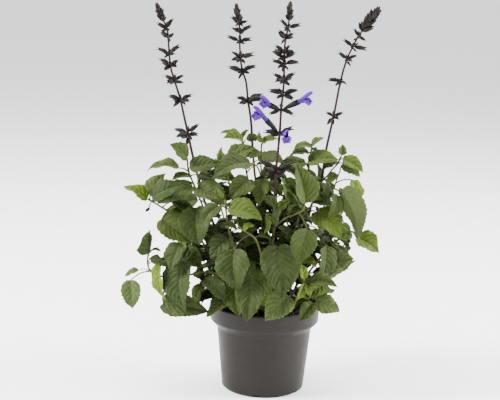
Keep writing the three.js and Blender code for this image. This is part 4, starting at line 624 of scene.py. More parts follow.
            # Painted shade: most leaves here, deep in the plant, take the DARK tone.
            tone = DARK if own.shade < AXIL_DARK else MID
            self.keep_small(parent["stem"], parent["root"], base, tip, AXIL_WIDTH * length, tone, AXIL_FIRST)

    def grow_inner(self, stem):
        """Small shaded leaves up the lower part of a stem, each a golden angle round from the last, all given the
        DARK tone as painted shade.
        """
        draws = Draws(SEEDS["inner"] + len(stem["dots"]) + round(abs(stem["points"][-1][0])))
        above = stem["dots"][stem["dots"][:, 2] > POT_HEIGHT + CLEAR_OF_RIM]
        spans = np.linalg.norm(np.diff(above, axis=0), axis=1).sum()
        for step in range(int(INNER_TOP * spans / INNER_STEP)):
            root = above[int(step * INNER_STEP / spans * len(above))]
            length = draws.between(*INNER_LENGTHS)
            for turn in INNER_TURNS:
                own = draws.each(INNER_RANGES)
                out = level(GOLDEN_TURN * step + turn + own.swing)
                base = root + SMALL_STALK * length * unit(out + own.rise * UP)
                tip = base + length * unit(out - own.droop * UP)
                # The DARK tone here is painted shade.
                if self.keep_small(stem, root, base, tip, INNER_WIDTH * length, DARK, INNER_FIRST):
                    break


def make_stem(entry):
    points = smooth_route(entry["route"], STEM_STEP, entry["rooted"])
    return dict(entry, points=points, dots=dotted(points, DOT_STEP))


def beyond(stem):
    """The point a seat's gap beyond a stem's end, and the stem's direction there."""
    end = stem["points"][-1]
    d = unit(end - stem["points"][-2])
    return end + d * SEAT_GAP, d


def whorl_calyces(whorl, seed, dots):
    """The calyces of a whorl: those of its left and its right, fanned front and back, and one that points
    to the front or the back."""
    height, left, right = whorl
    draws = Draws(seed)
    hand = 1 if seed % 2 == 0 else -1
    found = []
    for side, bearing in ((left, 180), (right, 0)):
        for i, (lift, length) in enumerate(side):
            fanned = bearing + hand * CALYX_FAN[i] + draws.between(-5, 5)
            found.append((height - WHORL_STEP * i, lift, length, fanned))
    found.append((height + 1, draws.between(*DEEP_CALYX_LIFTS), draws.between(*DEEP_CALYX_LENGTHS), 90 * hand))
    return placed_calyces(found, dots)


def placed_calyces(rows, dots):
    """Calyces on a spike: each one's root, direction and length, from its height, rise, length and
    bearing."""
    return [(at_height(dots, height), heading(lift, bearing), length) for height, lift, length, bearing in rows]


def make_spike(entry, order, stems):
    foot, d = beyond(next(s for s in stems if s["node"] == entry["stem"]))
    line = np.vstack([foot, smooth_route([foot + 6 * d, *entry["route"]], SPIKE_STEP, False)])
    dots = dotted(line, 2)
    calyces = [calyx for i, whorl in enumerate(entry["whorls"])
               for calyx in whorl_calyces(whorl, 40 * order + i, dots)]
    return dict(entry, line=line, dots=dots, calyces=calyces, neck=line[-1], tip=vec(entry["tip"]))


def corolla_lines(spike, flower):
    """The corolla's tube from the calyx's mouth to its throat, and the lines of its hood and lower lip."""
    root = at_height(spike["dots"], flower["from"])
    mouth, throat, hood, lip = (vec(flower[key]) for key in ("mouth", "throat", "hood", "lip"))
    d = unit(mouth - root)
    start = mouth + d * SEAT_GAP
    run = unit(throat - start)
    mixed = lambda a, b, t: a + (b - a) * t
    crown = mixed(throat + 2 * run, hood, 0.4) + UP * HOOD_ARCH * np.linalg.norm(hood - throat)
    return {
        "tube": vec([start, start + 2 * d, mixed(start, throat, 0.55), throat]),
        "hood": vec([throat - 3 * run, crown, hood]),
        "lip": vec([throat - 3 * run, mixed(throat + 2.5 * run, lip, 0.3),
                    mixed(throat + 1.5 * run, lip, 0.7), lip]),
    }


def make_buds(stem):
    """A cluster of buds at the end of a twig: a short stalk, and buds in turn to either side of it, each as
    its root, direction and length."""
    node, to, count = stem["buds"]
    foot, d = beyond(stem)
    neck, to = foot + 2.5 * d, vec(to)
    line = vec([foot, neck, neck + (to - neck) * 0.5])
    run = unit(to - foot)
    draws = Draws(SEEDS["cluster"] + count + math.floor(abs(stem["points"][-1][0]) + 0.5))
    length = min(11, max(8, 0.55 * np.linalg.norm(foot - to)))
    buds = []
    for i in range(count):
        t = i / count
        spoke = turned(square_to(vec([0, -1, 0.3]), run), run, math.degrees(i * GOLDEN_TURN))
        lean = draws.between(0.35, 0.75) * (1 - 0.5 * t)
        buds.append((line[1] + (line[2] - line[1]) * t, unit(run + spoke * lean), length))
    return {"node": node, "line": line, "buds": buds}


def grow():
    """Places the stems, spikes and buds, and then grows every leaf clear of them and of each other."""
    growth = Growth()
    stems = [make_stem(entry) for entry in STEMS]
    for stem in stems:
        growth.occupy(stem["dots"], stem["node"])
    spikes = [make_spike(entry, order, stems) for order, entry in enumerate(SPIKES)]
    clusters = [make_buds(stem) for stem in stems if stem["buds"]]
    for spike in spikes:
        growth.occupy(dotted([*spike["line"], spike["tip"]], DOT_STEP), spike["node"])
        for root, d, length in spike["calyces"]:
            growth.occupy(dotted([root, root + d * length], DOT_STEP), spike["node"])
        for flower in spike["flowers"]:
            lines = corolla_lines(spike, flower)
            growth.occupy(np.vstack([*lines.values(), flower["mouth"]]), flower["node"])
    for cluster in clusters:
        for root, d, length in cluster["buds"]:
            growth.occupy(dotted([root, root + d * length], 3), cluster["node"])
    growth.buds = seen(vec([root + d * length * t for c in clusters for root, d, length in c["buds"]
                            for t in (0.4, 1)]))
    listed = [(row, growth.grow_listed(row, stem, order)) for stem in stems
              for order, row in enumerate(stem["leaves"])]
    for row, leaf in listed:
        if leaf and PAIR in row:
            growth.keep_first(growth.partners(leaf))
    for order, stem in enumerate(stems):
        growth.grow_fillers(stem, order)
    for parent in list(growth.leaves):
        growth.grow_axils(parent)
    for stem in stems:
        growth.grow_inner(stem)
    return {"stems": stems, "spikes": spikes, "clusters": clusters, "leaves": growth.leaves}


# ---------------------------------------------------------------- surfaces
class Shells:
    """The closed surfaces of one piece. Each is a grid of rings that run round a line, and a fan of
    triangles closes the first ring and the last. Every point also carries the values in FIELDS, which the
    materials read."""

    FIELDS = ("tone", "vein", "across", "under")

    def __init__(self):
        self.points, self.faces, self.finishes = [], [], []
        self.values = {name: [] for name in self.FIELDS}
        self.count = 0

    def add(self, rings, poles, finish=0, **values):
        """Adds one closed surface: rings is rows x sides x 3, and poles are the two end points."""
        rows, sides = rings.shape[:2]
        here = self.count + np.arange(rows * sides).reshape(rows, sides)
        beside = np.roll(here, -1, axis=1)
        quads = np.stack([here[:-1], beside[:-1], beside[1:], here[1:]], axis=-1).reshape(-1, 4)
        first = np.full(sides, self.count + rows * sides)
        fans = np.stack([np.stack([first, beside[0], here[0], first], axis=-1),
                         np.stack([first + 1, here[-1], beside[-1], first + 1], axis=-1)]).reshape(-1, 4)
        self.points += [rings.reshape(-1, 3), vec(poles)]
        self.faces += [quads, fans]
        self.finishes += [np.full(len(quads) + len(fans), finish)]
        for name in self.FIELDS:
            grid = np.broadcast_to(values.get(name, 0.0), (rows, sides))
            self.values[name] += [grid.reshape(-1), [grid[0].mean(), grid[-1].mean()]]
        self.count += rows * sides + 2

    def add_rod(self, line, hint, radius, profile, finish, tone):
        self.add(swept(line, hint, radius, profile), line[[0, -1]], finish, tone=tone)

    def write(self, name, materials):
        """Makes the piece's mesh and its object. A fan's triangle is a quad whose last corner repeats its
        first, and that corner is left out here."""
        faces = np.concatenate(self.faces)
        sizes = np.where(faces[:, 3] == faces[:, 0], 3, 4)
        corners = faces.reshape(-1)[(np.arange(4)[None] < sizes[:, None]).reshape(-1)]
        mesh = bpy.data.meshes.new(name)
        mesh.vertices.add(self.count)
        mesh.vertices.foreach_set("co", (np.concatenate(self.points) * MM).astype(np.float32).reshape(-1))
        mesh.loops.add(len(corners))
        mesh.loops.foreach_set("vertex_index", corners.astype(np.int32))
        mesh.polygons.add(len(faces))
        mesh.polygons.foreach_set("loop_start", (np.cumsum(sizes) - sizes).astype(np.int32))
        mesh.update(calc_edges=True)
        mesh.polygons.foreach_set("material_index", np.concatenate(self.finishes).astype(np.int32))
        mesh.polygons.foreach_set("use_smooth", np.ones(len(faces), bool))
        for field in self.FIELDS:
            values = np.concatenate(self.values[field]).astype(np.float32)
            if values.any():
                mesh.attributes.new(field, "FLOAT", "POINT").data.foreach_set("value", values)
        for material in materials:
            mesh.materials.append(material)
        mesh.validate()
        made = bpy.data.objects.new(name, mesh)
        bpy.context.scene.collection.objects.link(made)
        return made


def stand_for(piece, slot, *nodes):
    """The piece rides on the plant's one body and stands for its node. The slot is not used."""
    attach(piece, "root")
    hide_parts(*nodes)


def frames_along(line, hint):
    """At each point of a line: its direction d, and x and y square to it, with x kept near the hint. x, y
    and d are right-handed."""
    d = np.gradient(line, axis=0)
    d /= np.linalg.norm(d, axis=1, keepdims=True)
    x = vec(hint) - d * (d @ vec(hint))[:, None]
    x /= np.linalg.norm(x, axis=1, keepdims=True)
    return d, x, np.cross(d, x)


def swept(line, hint, radius, profile):
    """Rings along a line: point + radius(row) * profile(angle), in the plane square to the line. The
    profile is an array of sides x 2."""
    _, x, y = frames_along(line, hint)
    radius = np.broadcast_to(radius, len(line))[:, None, None]
    return line[:, None] + radius * (profile[:, 0:1] * x[:, None] + profile[:, 1:2] * y[:, None])


def circle(sides):
    angle = np.arange(sides) * 2 * np.pi / sides
    return np.stack([np.cos(angle), np.sin(angle)], axis=1)


def square_profile(sides):
    """A square's outline with rounded corners at a radius of 1 and faintly hollow faces, as a sage's stem
    has: r = 1 / (|cos|^2.6 + |sin|^2.6)^(1/2.6), turned so that the corners lie on the diagonals."""
    c = circle(sides)
    r = (np.abs(c) ** 2.6).sum(1) ** (-1 / 2.6)
    return c * (r / r.max())[:, None]


SQUARE = square_profile(12)
STEM_HINT = (0, -1, 0.2)


def resampled(line, step):
    """A smooth curve through a line's points, with a point about every step."""
    spans = np.linalg.norm(np.diff(line, axis=0), axis=1)
    return spline_points(line, [max(1, round(span / step)) for span in spans])


def bell(x, width):
    """1 at nought, and falling off evenly on both sides: e^-(x / width)^2."""
    return np.exp(-(x / width) ** 2)


def ease(x, low, high):
    """0 below low, 1 above high, and x x (3 - 2 x) between them."""
    x = np.clip((x - low) / (high - low), 0, 1)
    return x * x * (3 - 2 * x)


def lattice_noise(points, size, seed):
    """Smooth noise from -1 to 1 whose lumps are about `size` across: eight hashed values at the corners
    of a lattice cell, mixed by the eased place in the cell."""
    cell = np.floor(points / size)
    f = points / size - cell
    f = f * f * (3 - 2 * f)
    total = np.zeros(points.shape[:-1])
    for corner in np.ndindex(2, 2, 2):
        hashed = np.sin((cell + corner) @ np.array([127.1, 311.7, 74.7]) + seed * 17.3) * 43758.5453
        weight = np.prod(np.where(np.array(corner) == 1, f, 1 - f), axis=-1)
        total += weight * (2 * (hashed - np.floor(hashed)) - 1)
    return total


# ---------------------------------------------------------------- leaves and stems
TOOTH_SPACING, TEETH = 5.2, (5, 17)
VEIN_SPACING, VEINS = 8.5, (4, 9)
TOOTH_OUTLINE = np.array([0.1, 0.7, 1.0, 0.6])
HALF_ACROSS = [0.07, 0.19, 0.34, 0.5, 0.66, 0.82, 0.94, 1]
ACROSS = np.array([-x for x in HALF_ACROSS[::-1]] + [0] + HALF_ACROSS)
TONES = (0.0, 0.25, 0.5, 0.75, 1.0)
LUMPS, RIB = 6.5, 0.9
BLADE_RANGES = {
    "wobble_along": (4, 8), "wobble_across": (2, 4), "wobble_phase": (0, 6), "relief": (0.6, 1.5),
    "cupping": (0.04, 0.2), "ruffle": (0.4, 1.2), "ruffle_phase": (0, 6), "curl": (0.0, 0.12),
    "bend": (-0.06, 0.06), "droop": (0.02, 0.1), "shade": (-0.12, 0.12),
}
TOOTH_DEPTHS = (0.6, 1.25)
RING_STEP = 3.5
SWELLING, SWELLING_SPAN = 0.22, 2.6


def add_blade(shells, leaf, sizes):
    """The blade is a grid of rows that run out from the midrib along the side veins, round the upper face
    and back under the lower. A row at s from 0 to 1 meets the midrib at t = s and arches forward,
    t = s + 0.95 s^0.8 (1 - s) (0.45 |u| + 0.55 u^2). Each margin is cut into rounded teeth that lean to
    the tip, and a small leaf has half as many rows and columns. The face puckers up between its veins by
    |sin(pi vein)|^0.7, where vein counts the side veins from the stalk, leans forward across the rows, and
    is half a vein apart on the two sides. Lumps that follow no line are added to that."""
    axes = leaf_frame(leaf)
    a, n, s_dir, length = axes
    draws = Draws(leaf["index"] + SEEDS["blade"])
    coarser = 2 if "small" in leaf else 1
    across, outline = ACROSS[::coarser], TOOTH_OUTLINE[::coarser]
    teeth = int(np.clip(round(length / TOOTH_SPACING), *TEETH))
    each = len(outline)
    rows = (np.arange(each * teeth) + 0.5)[:, None] / (each * teeth)
    u = np.concatenate([across, across[-2:0:-1]])
    under = np.concatenate([np.zeros(len(across)), np.ones(len(across) - 2)])
    out = np.abs(u)
    t = rows + 0.95 * rows ** 0.8 * (1 - rows) * (0.45 * out + 0.55 * out ** 2)
    half = half_width(leaf, t)
    grow = np.clip(half / (0.3 * leaf["width"]), 0, 1)
    depth = np.repeat([draws.between(*TOOTH_DEPTHS) for _ in range(teeth)], each)[:, None]
    own = draws.each(BLADE_RANGES)
    tooth = np.tile(outline, teeth)[:, None] * depth
    cut = (tooth - 0.45) * sizes.tooth_depth / MM * grow * out ** 8
    veins = np.clip(length / VEIN_SPACING, *VEINS)
    wobble = 0.09 * np.sin(own.wobble_along * rows + own.wobble_across * u + own.wobble_phase)
    vein = veins * (rows ** 0.9 - 0.12 * out) + 0.5 * (u > 0) + wobble
    points = blade_point(leaf, axes, t, np.broadcast_to(u, t.shape))
    lumps = lattice_noise(points, LUMPS, leaf["index"])
    swell = np.sin(np.pi * out ** 0.8) * np.clip(half / 10, 0, 1)
    relief = sizes.pucker / MM * own.relief
    pucker = relief * swell * (np.abs(np.sin(np.pi * vein)) ** 0.7 - 0.45 + 0.7 * lumps)
    pucker = pucker + own.cupping * out * half
    channel = -0.5 * bell(out * half, RIB) * np.clip(6 * (1 - t), 0, 1)
    ruffle = out ** 2 * (own.ruffle * np.sin(1.7 * vein + own.ruffle_phase) + 0.9 * lumps)
    curl = -own.curl * half * out ** 3
    bend = own.bend * length * np.sin(np.pi * t)
    droop = -own.droop * length * np.clip(t - 0.5, 0, 1) ** 2 * 4
    wall = sizes.blade / MM * (0.5 - under) * (1 - 0.85 * out ** 3)
    rib = -under * 0.8 * (1 - 0.75 * t) * bell(out * half, RIB)
    height = pucker + channel * (1 - 0.6 * under) + ruffle + curl + droop + wall + rib
    points += (cut * np.sign(u))[..., None] * s_dir + (0.6 * np.abs(cut))[..., None] * a
    points += height[..., None] * n + bend[..., None] * s_dir
    # The tone, partly painted light and shade, picks the leaf's green.
    tone = TONES[leaf["tone"]] + own.shade * (leaf["tone"] != GREY)
    poles = [leaf["base"], leaf["tip"] + n * height[-1].mean() + s_dir * bend[-1].mean()]
    shells.add(points, poles, 0, tone=np.clip(tone, 0, 1), vein=vein, across=u, under=under)


def add_stalk(shells, leaf):
    """The leaf's stalk: a tapering channelled rod from inside the stem to the blade's midrib."""
    axes = leaf_frame(leaf)
    joint = blade_point(leaf, axes, vec([0.05]), vec([0.0]))[0] - 0.7 * axes[1]
    line = resampled(vec([*stalk_line(leaf), joint]), RING_STEP)
    girth = min(1.5, 0.6 + 0.014 * axes[3])
    profile = circle(8) * (1 - 0.3 * (np.arange(8) == 0))[:, None]
    # The stalk's colour follows its leaf's tone, so it carries the same painted light and shade.
    shells.add_rod(line, axes[1], girth * (1.1 - 0.45 * np.linspace(0, 1, len(line))), profile, 1,
                   TONES[leaf["tone"]])


def add_stem(shells, stem, leaves):
    """A square stem along its route: it tapers from its foot to its tip, and swells a little where the
    stalks of the leaves leave it."""
    line = resampled(stem["points"], RING_STEP)
    if stem["rooted"]:
        line[0] = line[1] - UP * 20
    t = np.linspace(0, 1, len(line))
    foot, tip = stem["radius"]
    radius = foot + (tip - foot) * t
    for leaf in leaves:
        radius = radius * (1 + SWELLING * bell(np.linalg.norm(line - leaf["root"], axis=1), SWELLING_SPAN))
    shells.add_rod(line, STEM_HINT, radius, SQUARE, 1, 0.4 + 0.3 * t[:, None])


def leafy_piece(node, plant, sizes, materials):
    """All the stems and leaves of one node."""
    shells = Shells()
    for stem in (s for s in plant["stems"] if s["node"] == node):
        leaves = [leaf for leaf in plant["leaves"] if leaf["stem"] is stem]
        add_stem(shells, stem, leaves)
        for leaf in leaves:
            add_stalk(shells, leaf)
            add_blade(shells, leaf, sizes)
    stand_for(shells.write(node + "_leafy", materials), "foliage", node)


# ---------------------------------------------------------------- spikes, flowers and buds
# Each outline is (place along the length, radius as a share of the length).
CALYX_OUTSIDE = np.array([[0, 0.032], [0.11, 0.03], [0.16, 0.06], [0.24, 0.12], [0.37, 0.165],
                          [0.52, 0.172], [0.66, 0.145]])
CALYX_INSIDE = np.array([[0.68, 0.07], [0.5, 0.06]])
BUD_OUTLINE = np.array([[0, 0.05], [0.1, 0.06], [0.25, 0.15], [0.45, 0.19], [0.65, 0.15], [0.84, 0.07]])
CUP_STEPS = vec([0, 0.1, 0.17, 0.26, 0.38, 0.52, 0.68, 0.84, 0.97])[:, None]
CUP_PLACES, CUP_RADII = [0, 0.14, 0.3, 0.5, 0.75, 1], [0.8, 0.8, 2.5, 3.8, 4.5, 4.8]
CALYX_RANGES = {"turn": (-40, 40), "bow": (0.2, 1.6), "gape": (0, 1), "tone": (0.25, 0.75)}
MORE_RANGES = {"drop": (0, 3), "rise": (-30, 35), "size": (0.7, 0.95), "swing": (-16, 16)}
WHORL_GROWN, MORE_GROWN, BUD_GROWN = 1.2, 1.1, 1.25
TIP_TIERS = 10
TIP_RANGES = {"swing": (-14, 14), "lean": (0.6, 1.35), "size": (0.8, 1.15), "tone": (0.3, 1.0)}
BRACT_TURNS = (70, 190, 310)
TUBE_RADIUS, TUBE_START = 4.5, 3.5
PETAL_COLUMNS = 21


def facing(d):
    """A direction square to d that looks up, or to the front where d itself is upright."""
    return square_to(FRONT if abs(d[2]) > 0.95 else UP, d)


def spokes(angle, x, y, flat=1.0):
    """Directions at the angles round a line, from x, where they are flattened, towards y."""
    return np.cos(angle)[..., None] * x * flat + np.sin(angle)[..., None] * y


def rings_along(root, d, reach, girth, spoke):
    """Rings round a straight line: root + reach d + girth spoke."""
    return root + reach[..., None] * d + girth[..., None] * spoke


def add_calyx(shells, root, d, length, draws):
    """A ribbed calyx on a thin stalk, bowed a little. Its mouth has two lips, above and below: its last two
    rings reach forward there by |cos(angle)|^2 of 0.12 and 0.3 of its length, and draw in to two points
    that are shut or gape."""
    own = draws.each(CALYX_RANGES)
    face = turned(facing(d), d, own.turn)
    angle = np.arange(12) * np.pi / 6
    ribs = 1 + 0.06 * np.cos(6 * angle)
    bow, gape = 0.05 * length * own.bow, own.gape ** 2
    lips = np.cos(angle) ** 2
    mouth = np.stack([0.74 + 0.12 * lips, 0.77 + 0.3 * lips])
    flare = np.stack([0.13 - lips * (0.03 - 0.05 * gape), 0.11 - lips * (0.09 - 0.14 * gape)])
    reach = np.concatenate([CALYX_OUTSIDE[:, 0:1] + 0 * angle, mouth, CALYX_INSIDE[:, 0:1] + 0 * angle])
    girth = np.concatenate([CALYX_OUTSIDE[:, 1:2] * ribs, flare, CALYX_INSIDE[:, 1:2] + 0 * angle])
    rings = rings_along(root, d, reach * length, girth * length, spokes(angle, face, np.cross(d, face)))
    rings = rings + (bow * np.sin(np.pi * reach))[..., None] * facing(d)
    poles = [root - 0.3 * d, root + 0.5 * length * d + bow * facing(d)]
    shells.add(rings, poles, 0, tone=own.tone, vein=angle * 5 / np.pi)


def add_cup(shells, root, mouth, draws):
    """The calyx of an open flower: a thin stalk that widens to a cup round the flower's tube. Its wall turns
    in at a mouth of two lips, where the rim reaches 2.6 |cos(angle)|^1.5 further on."""
    d, length = unit(mouth - root), np.linalg.norm(mouth - root)
    angle = np.arange(24) * np.pi / 12
    face = facing(d)
    wall = np.interp(CUP_STEPS, CUP_PLACES, CUP_RADII) * (1 + 0.04 * np.cos(10 * angle))
    lips = 2.6 * np.abs(np.cos(angle)) ** 1.5
    inner = wall[-1] - 0.35
    reach = np.concatenate([CUP_STEPS * length + 0 * angle, (length + lips)[None],
                            (0.97 * length + 0.85 * lips)[None], 0.8 * length + 0 * angle[None]])
    girth = np.concatenate([wall, wall[-1:] + 0.1, inner[None], inner[None] - 0.2])
    rings = rings_along(root, d, reach, girth, spokes(angle, face, np.cross(d, face)))
    shells.add(rings, [root - 0.3 * d, root + 0.8 * length * d], 0, tone=draws.between(0.1, 0.4),
               vein=angle * 5 / np.pi)


def add_bud(shells, root, d, length, tone, slim=1.0, flat=1.0):
    """A shut bud or a bract: a pointed spindle of six rings, slimmed or flattened if asked."""
    face = facing(d)
    angle = np.arange(8) * np.pi / 4
    girth = BUD_OUTLINE[:, 1:2] * length * slim * (1 + 0.08 * np.cos(4 * angle))
    spoke = spokes(angle, face, np.cross(d, face), flat)
    shells.add(rings_along(root, d, BUD_OUTLINE[:, 0:1] * length, girth, spoke), [root, root + length * d], 0,
               tone=tone, vein=0.3)


def add_tip(shells, spike, draws):
    """The spike's tip: whorls of shut buds and bracts that overlap like the scales of a cone, each smaller
    and more upright than the last, with two longer bracts that stand out from its foot."""
    run = spike["tip"] - spike["neck"]
    length = np.linalg.norm(run)
    d = run / length
    face = facing(d)
    for tier in range(TIP_TIERS):
        t = tier / 10.5 - 0.08
        count = 6 if tier < 6 else 4
        for k in range(count):
            own = draws.each(TIP_RANGES)
            spoke = turned(face, d, (k + 0.5 * (tier % 2)) * 360 / count + own.swing)
            lean = (0.95 - 0.6 * t) * own.lean
            size = min((0.44 - 0.1 * t) * length, (1.1 - t) * length) * own.size
            root = spike["neck"] + (t * length - 1) * d
            add_bud(shells, root, unit(d + lean * spoke), size, own.tone, 1.1, 0.8)
    for bearing in (40, 200):
        spoke = turned(face, d, bearing + draws.between(-30, 30))
        add_bud(shells, spike["neck"], unit(0.8 * d + spoke), 0.4 * length, 0.4, 0.7, 0.7)
    add_bud(shells, spike["neck"] + 0.66 * run, d, 0.46 * length, 0.8, 1.3)


def more_calyces(spike, draws):
    """Smaller calyces at the front and the back of each whorl that bears no flower, three to a whorl, and
    the spike's own few."""
    rows = list(spike["more"])
    for height, left, right in spike["whorls"]:
        if any(abs(height - flower["from"]) < 4 for flower in spike["flowers"]):
            continue
        usual = np.mean([length for _, length in left + right])
        for bearing in (-125, -55, 90 + draws.between(-30, 30)):
            own = draws.each(MORE_RANGES)
            rows.append([height - own.drop, own.rise, usual * own.size, bearing + own.swing])
    return placed_calyces(rows, spike["dots"])


def spike_piece(spike, order, materials):
    """The spike's square stem, its whorls of calyces and its tip."""
    shells, draws = Shells(), Draws(SEEDS["spike"] + order)
    line = resampled(np.vstack([spike["line"], spike["neck"] + 0.3 * (spike["tip"] - spike["neck"])]), 4)
    t = np.linspace(0, 1, len(line))
    radius = 2.6 - 1.1 * t
    for whorl in spike["whorls"]:
        radius = radius * (1 + 0.3 * bell(line[:, 2] - whorl[0], 2.5))
    shells.add_rod(line, STEM_HINT, radius, SQUARE, 1, 0.7 * t[:, None])
    for root, d, length in spike["calyces"]:
        add_calyx(shells, root, d, WHORL_GROWN * length, draws)
    for root, d, length in more_calyces(spike, draws):
        add_calyx(shells, root, d, MORE_GROWN * length, draws)
    for flower in spike["flowers"]:
        add_cup(shells, at_height(spike["dots"], flower["from"]), vec(flower["mouth"]), draws)
    add_tip(shells, spike, draws)
    stand_for(shells.write(spike["node"] + "_calyces", materials), "calyx", spike["node"])


def buds_piece(cluster, materials):
    """A cluster of young buds, each in its pointed calyx with three bracts, on a short stalk."""
    shells, draws = Shells(), Draws(round(abs(cluster["line"][0][0])) + SEEDS["buds"])
    line = resampled(cluster["line"], 1.5)
    shells.add_rod(line, UP, np.linspace(1.15, 0.9, len(line)), circle(8), 1, 0.6)
    for root, d, length in cluster["buds"]:
        add_bud(shells, root, d, BUD_GROWN * length, draws.between(0.2, 0.9), 1.35)
        for turn in BRACT_TURNS:
            add_bud(shells, root, unit(d + 0.5 * turned(facing(d), d, turn)), 0.85 * length,
                    draws.between(0.1, 0.9), 1.0, 0.6)
    stand_for(shells.write(cluster["node"] + "_bracts", materials), "calyx", cluster["node"])


def add_tube(shells, lines, up, thickness):
    """The flower's tube: a wall swept from inside the calyx to the throat, whose radius grows evenly, and
    back by its inner face."""
    start, second = lines["tube"][:2]
    line = resampled(np.vstack([start - 5 * unit(second - start), lines["tube"]]), 1.5)
    t = np.linspace(0, 1, len(line))
    sides = circle(32) * vec([1.0, 0.9])
    radius = TUBE_START + t * (TUBE_RADIUS - TUBE_START)
    rings = np.concatenate([swept(line, up, radius, sides), swept(line, up, radius - thickness, sides)[::-1]])
    tone = np.concatenate([0.5 * t, 0.1 + 0 * t])[:, None]
    shells.add(rings, [line[0] - 0.2, line[0] + 0.2], 0, tone=tone, vein=np.arange(32) / 32 * 14)


def add_petal(shells, outer, inward, thickness, ends, tone, spread):
    """A petal from its outer face, rows x columns x 3: round that face and back by the inner one, which
    lies a thickness inward of it."""
    ring = np.concatenate([outer, (outer + thickness * inward)[:, ::-1]], axis=1)
    shells.add(ring, ends, 0, tone=tone, vein=np.concatenate([spread, spread[::-1]]) * 5)


def add_hood(shells, lines, up, thickness):
    """The upper lip: a helmet along the hood's line. Its section is an arch, cos(phi) high and sin(phi)
    wide, that reaches 105 degrees either way and 40 more at the middle, narrows sideways to the tip, and
    is rounded off there by the square root of 1 - t^10."""
    line = resampled(lines["hood"], 1.1)
    t = np.linspace(0, 0.985, len(line))[:, None]
    d, x, y = frames_along(line, up)
    spread = np.linspace(-1, 1, PETAL_COLUMNS)
    phi = spread * np.radians(105 + 40 * np.sin(np.pi * t))
    close, narrow = np.sqrt(1 - t ** 10), ease(t, 0, 0.6)
    high = TUBE_RADIUS * (1.04 - 0.2 * narrow) * close
    wide = TUBE_RADIUS * (0.94 - 0.24 * narrow) * close
    outer = (line[:, None] + (high * np.cos(phi))[..., None] * x[:, None]
             + (wide * np.sin(phi))[..., None] * y[:, None])
    add_petal(shells, outer, -spokes(phi, x[:, None], y[:, None]), thickness,
              [line[0], line[-1] + 0.3 * d[-1]], 0.5 + 0.4 * t, spread)


def add_lip(shells, lines, up, thickness, draws):
    """The lower lip: half the tube's ring at first, then flattened and spread into three rounded lobes
    whose ends, 0.8 + 0.2 cos(3 pi u) of its length, curl down."""
    line = resampled(lines["lip"], 1.1)
    length = np.linalg.norm(np.diff(line, axis=0), axis=1).sum()
    t = np.linspace(0, 1, len(line))[:, None]
    d, x, y = frames_along(line, up)
    spread = np.linspace(1, -1, PETAL_COLUMNS)
    phi = spread * np.radians(92)
    flat = ease(t, 0.15, 0.6)
    wide = TUBE_RADIUS * (0.94 - 0.2 * ease(t, 0, 0.35) + 1.2 * ease(t, 0.3, 0.85) - 0.25 * ease(t, 0.85, 1))
    deep = TUBE_RADIUS * 1.04 * (1 - 0.92 * flat)
    lobes = 0.5 + 0.5 * np.cos(3 * np.pi * spread)
    curl = (2.6 * lobes + 1.2) * t ** 4 - 1.4 * np.abs(spread) * np.sin(np.pi * t) * flat
    frill = 0.5 * t ** 2 * np.sin(11 * spread + draws.between(0, 6))
    side = (1 - flat) * np.sin(phi) + flat * spread
    outer = (line[:, None] - (deep * np.cos(phi) + curl + frill)[..., None] * x[:, None]
             + (wide * side)[..., None] * y[:, None]
             - ((1 - lobes) * 0.42 * length * t ** 2)[..., None] * d[:, None])
    inward = spokes(phi * (1 - flat), x[:, None], -y[:, None])
    add_petal(shells, outer, inward, thickness, line[[0, -1]], 0.5 + 0.45 * t, spread)


def corolla_piece(spike, flower, order, sizes, material):
    """One flower: its tube, hood and lip, with its style and two stamens under the hood."""
    shells, draws = Shells(), Draws(SEEDS["flower"] + order)
    lines = corolla_lines(spike, flower)
    throat, hood, lip = (lines[name][-1] for name in ("tube", "hood", "lip"))
    up = square_to(unit(hood - lip) + 0.55 * FRONT, unit(throat - lines["tube"][0]))
    thickness = sizes.petal / MM
    add_tube(shells, lines, up, thickness)
    add_hood(shells, lines, up, thickness)
    add_lip(shells, lines, up, thickness, draws)
    side, crown = unit(np.cross(hood - throat, up)), lines["hood"][1]
    for offset, reach in ((-0.9, 0.8), (0.9, 0.76), (0.0, 1.0)):
        line = vec([throat - 4 * unit(hood - throat), crown - 0.6 * up, crown + reach * (hood - crown) - 0.8 * up])
        shells.add_rod(resampled(line + side * offset, 1.5), UP, 0.35, circle(6), 0, 0.9)
    stand_for(shells.write(flower["node"] + "_petals", [material]), "corolla", flower["node"])


# ---------------------------------------------------------------- pot and soil
POT_OUTSIDE = [
    [2, 0], [66.5, 0], [BASE_RADIUS - 0.6, 3.6], [(BASE_RADIUS + SHOULDER_RADIUS) / 2 - 0.2, 56],
    [SHOULDER_RADIUS, SHOULDER_FOOT], [SHOULDER_RADIUS + 2.6, SHOULDER_FOOT + 3.6],
    [RIM_RADIUS - 3, RIM_BAND_FOOT - 2.2], [RIM_RADIUS - 1.4, RIM_BAND_FOOT], [RIM_RADIUS, POT_HEIGHT - 2],
    [RIM_RADIUS - 1, POT_HEIGHT],
]
POT_INSIDE = [
    [RIM_RADIUS - 2.6, POT_HEIGHT], [RIM_RADIUS - 3.8, RIM_BAND_FOOT + 0.6],
    [SHOULDER_RADIUS - POT_WALL, SHOULDER_FOOT], [BASE_RADIUS - POT_WALL - 1.6, POT_FLOOR], [2, POT_FLOOR],
]
SOIL_WALL = [
    [BASE_RADIUS - POT_WALL - 1.6 - SEAT_GAP, POT_FLOOR + SEAT_GAP],
    [SHOULDER_RADIUS - POT_WALL - SEAT_GAP, SHOULDER_FOOT],
    [RIM_RADIUS - 3.8 - SEAT_GAP, RIM_BAND_FOOT + 0.6], [RIM_RADIUS - 3.9 - SEAT_GAP, SOIL_TOP - 1.5],
]
POT_SIDES, SOIL_SIDES, CRUMBS = 160, 168, 420
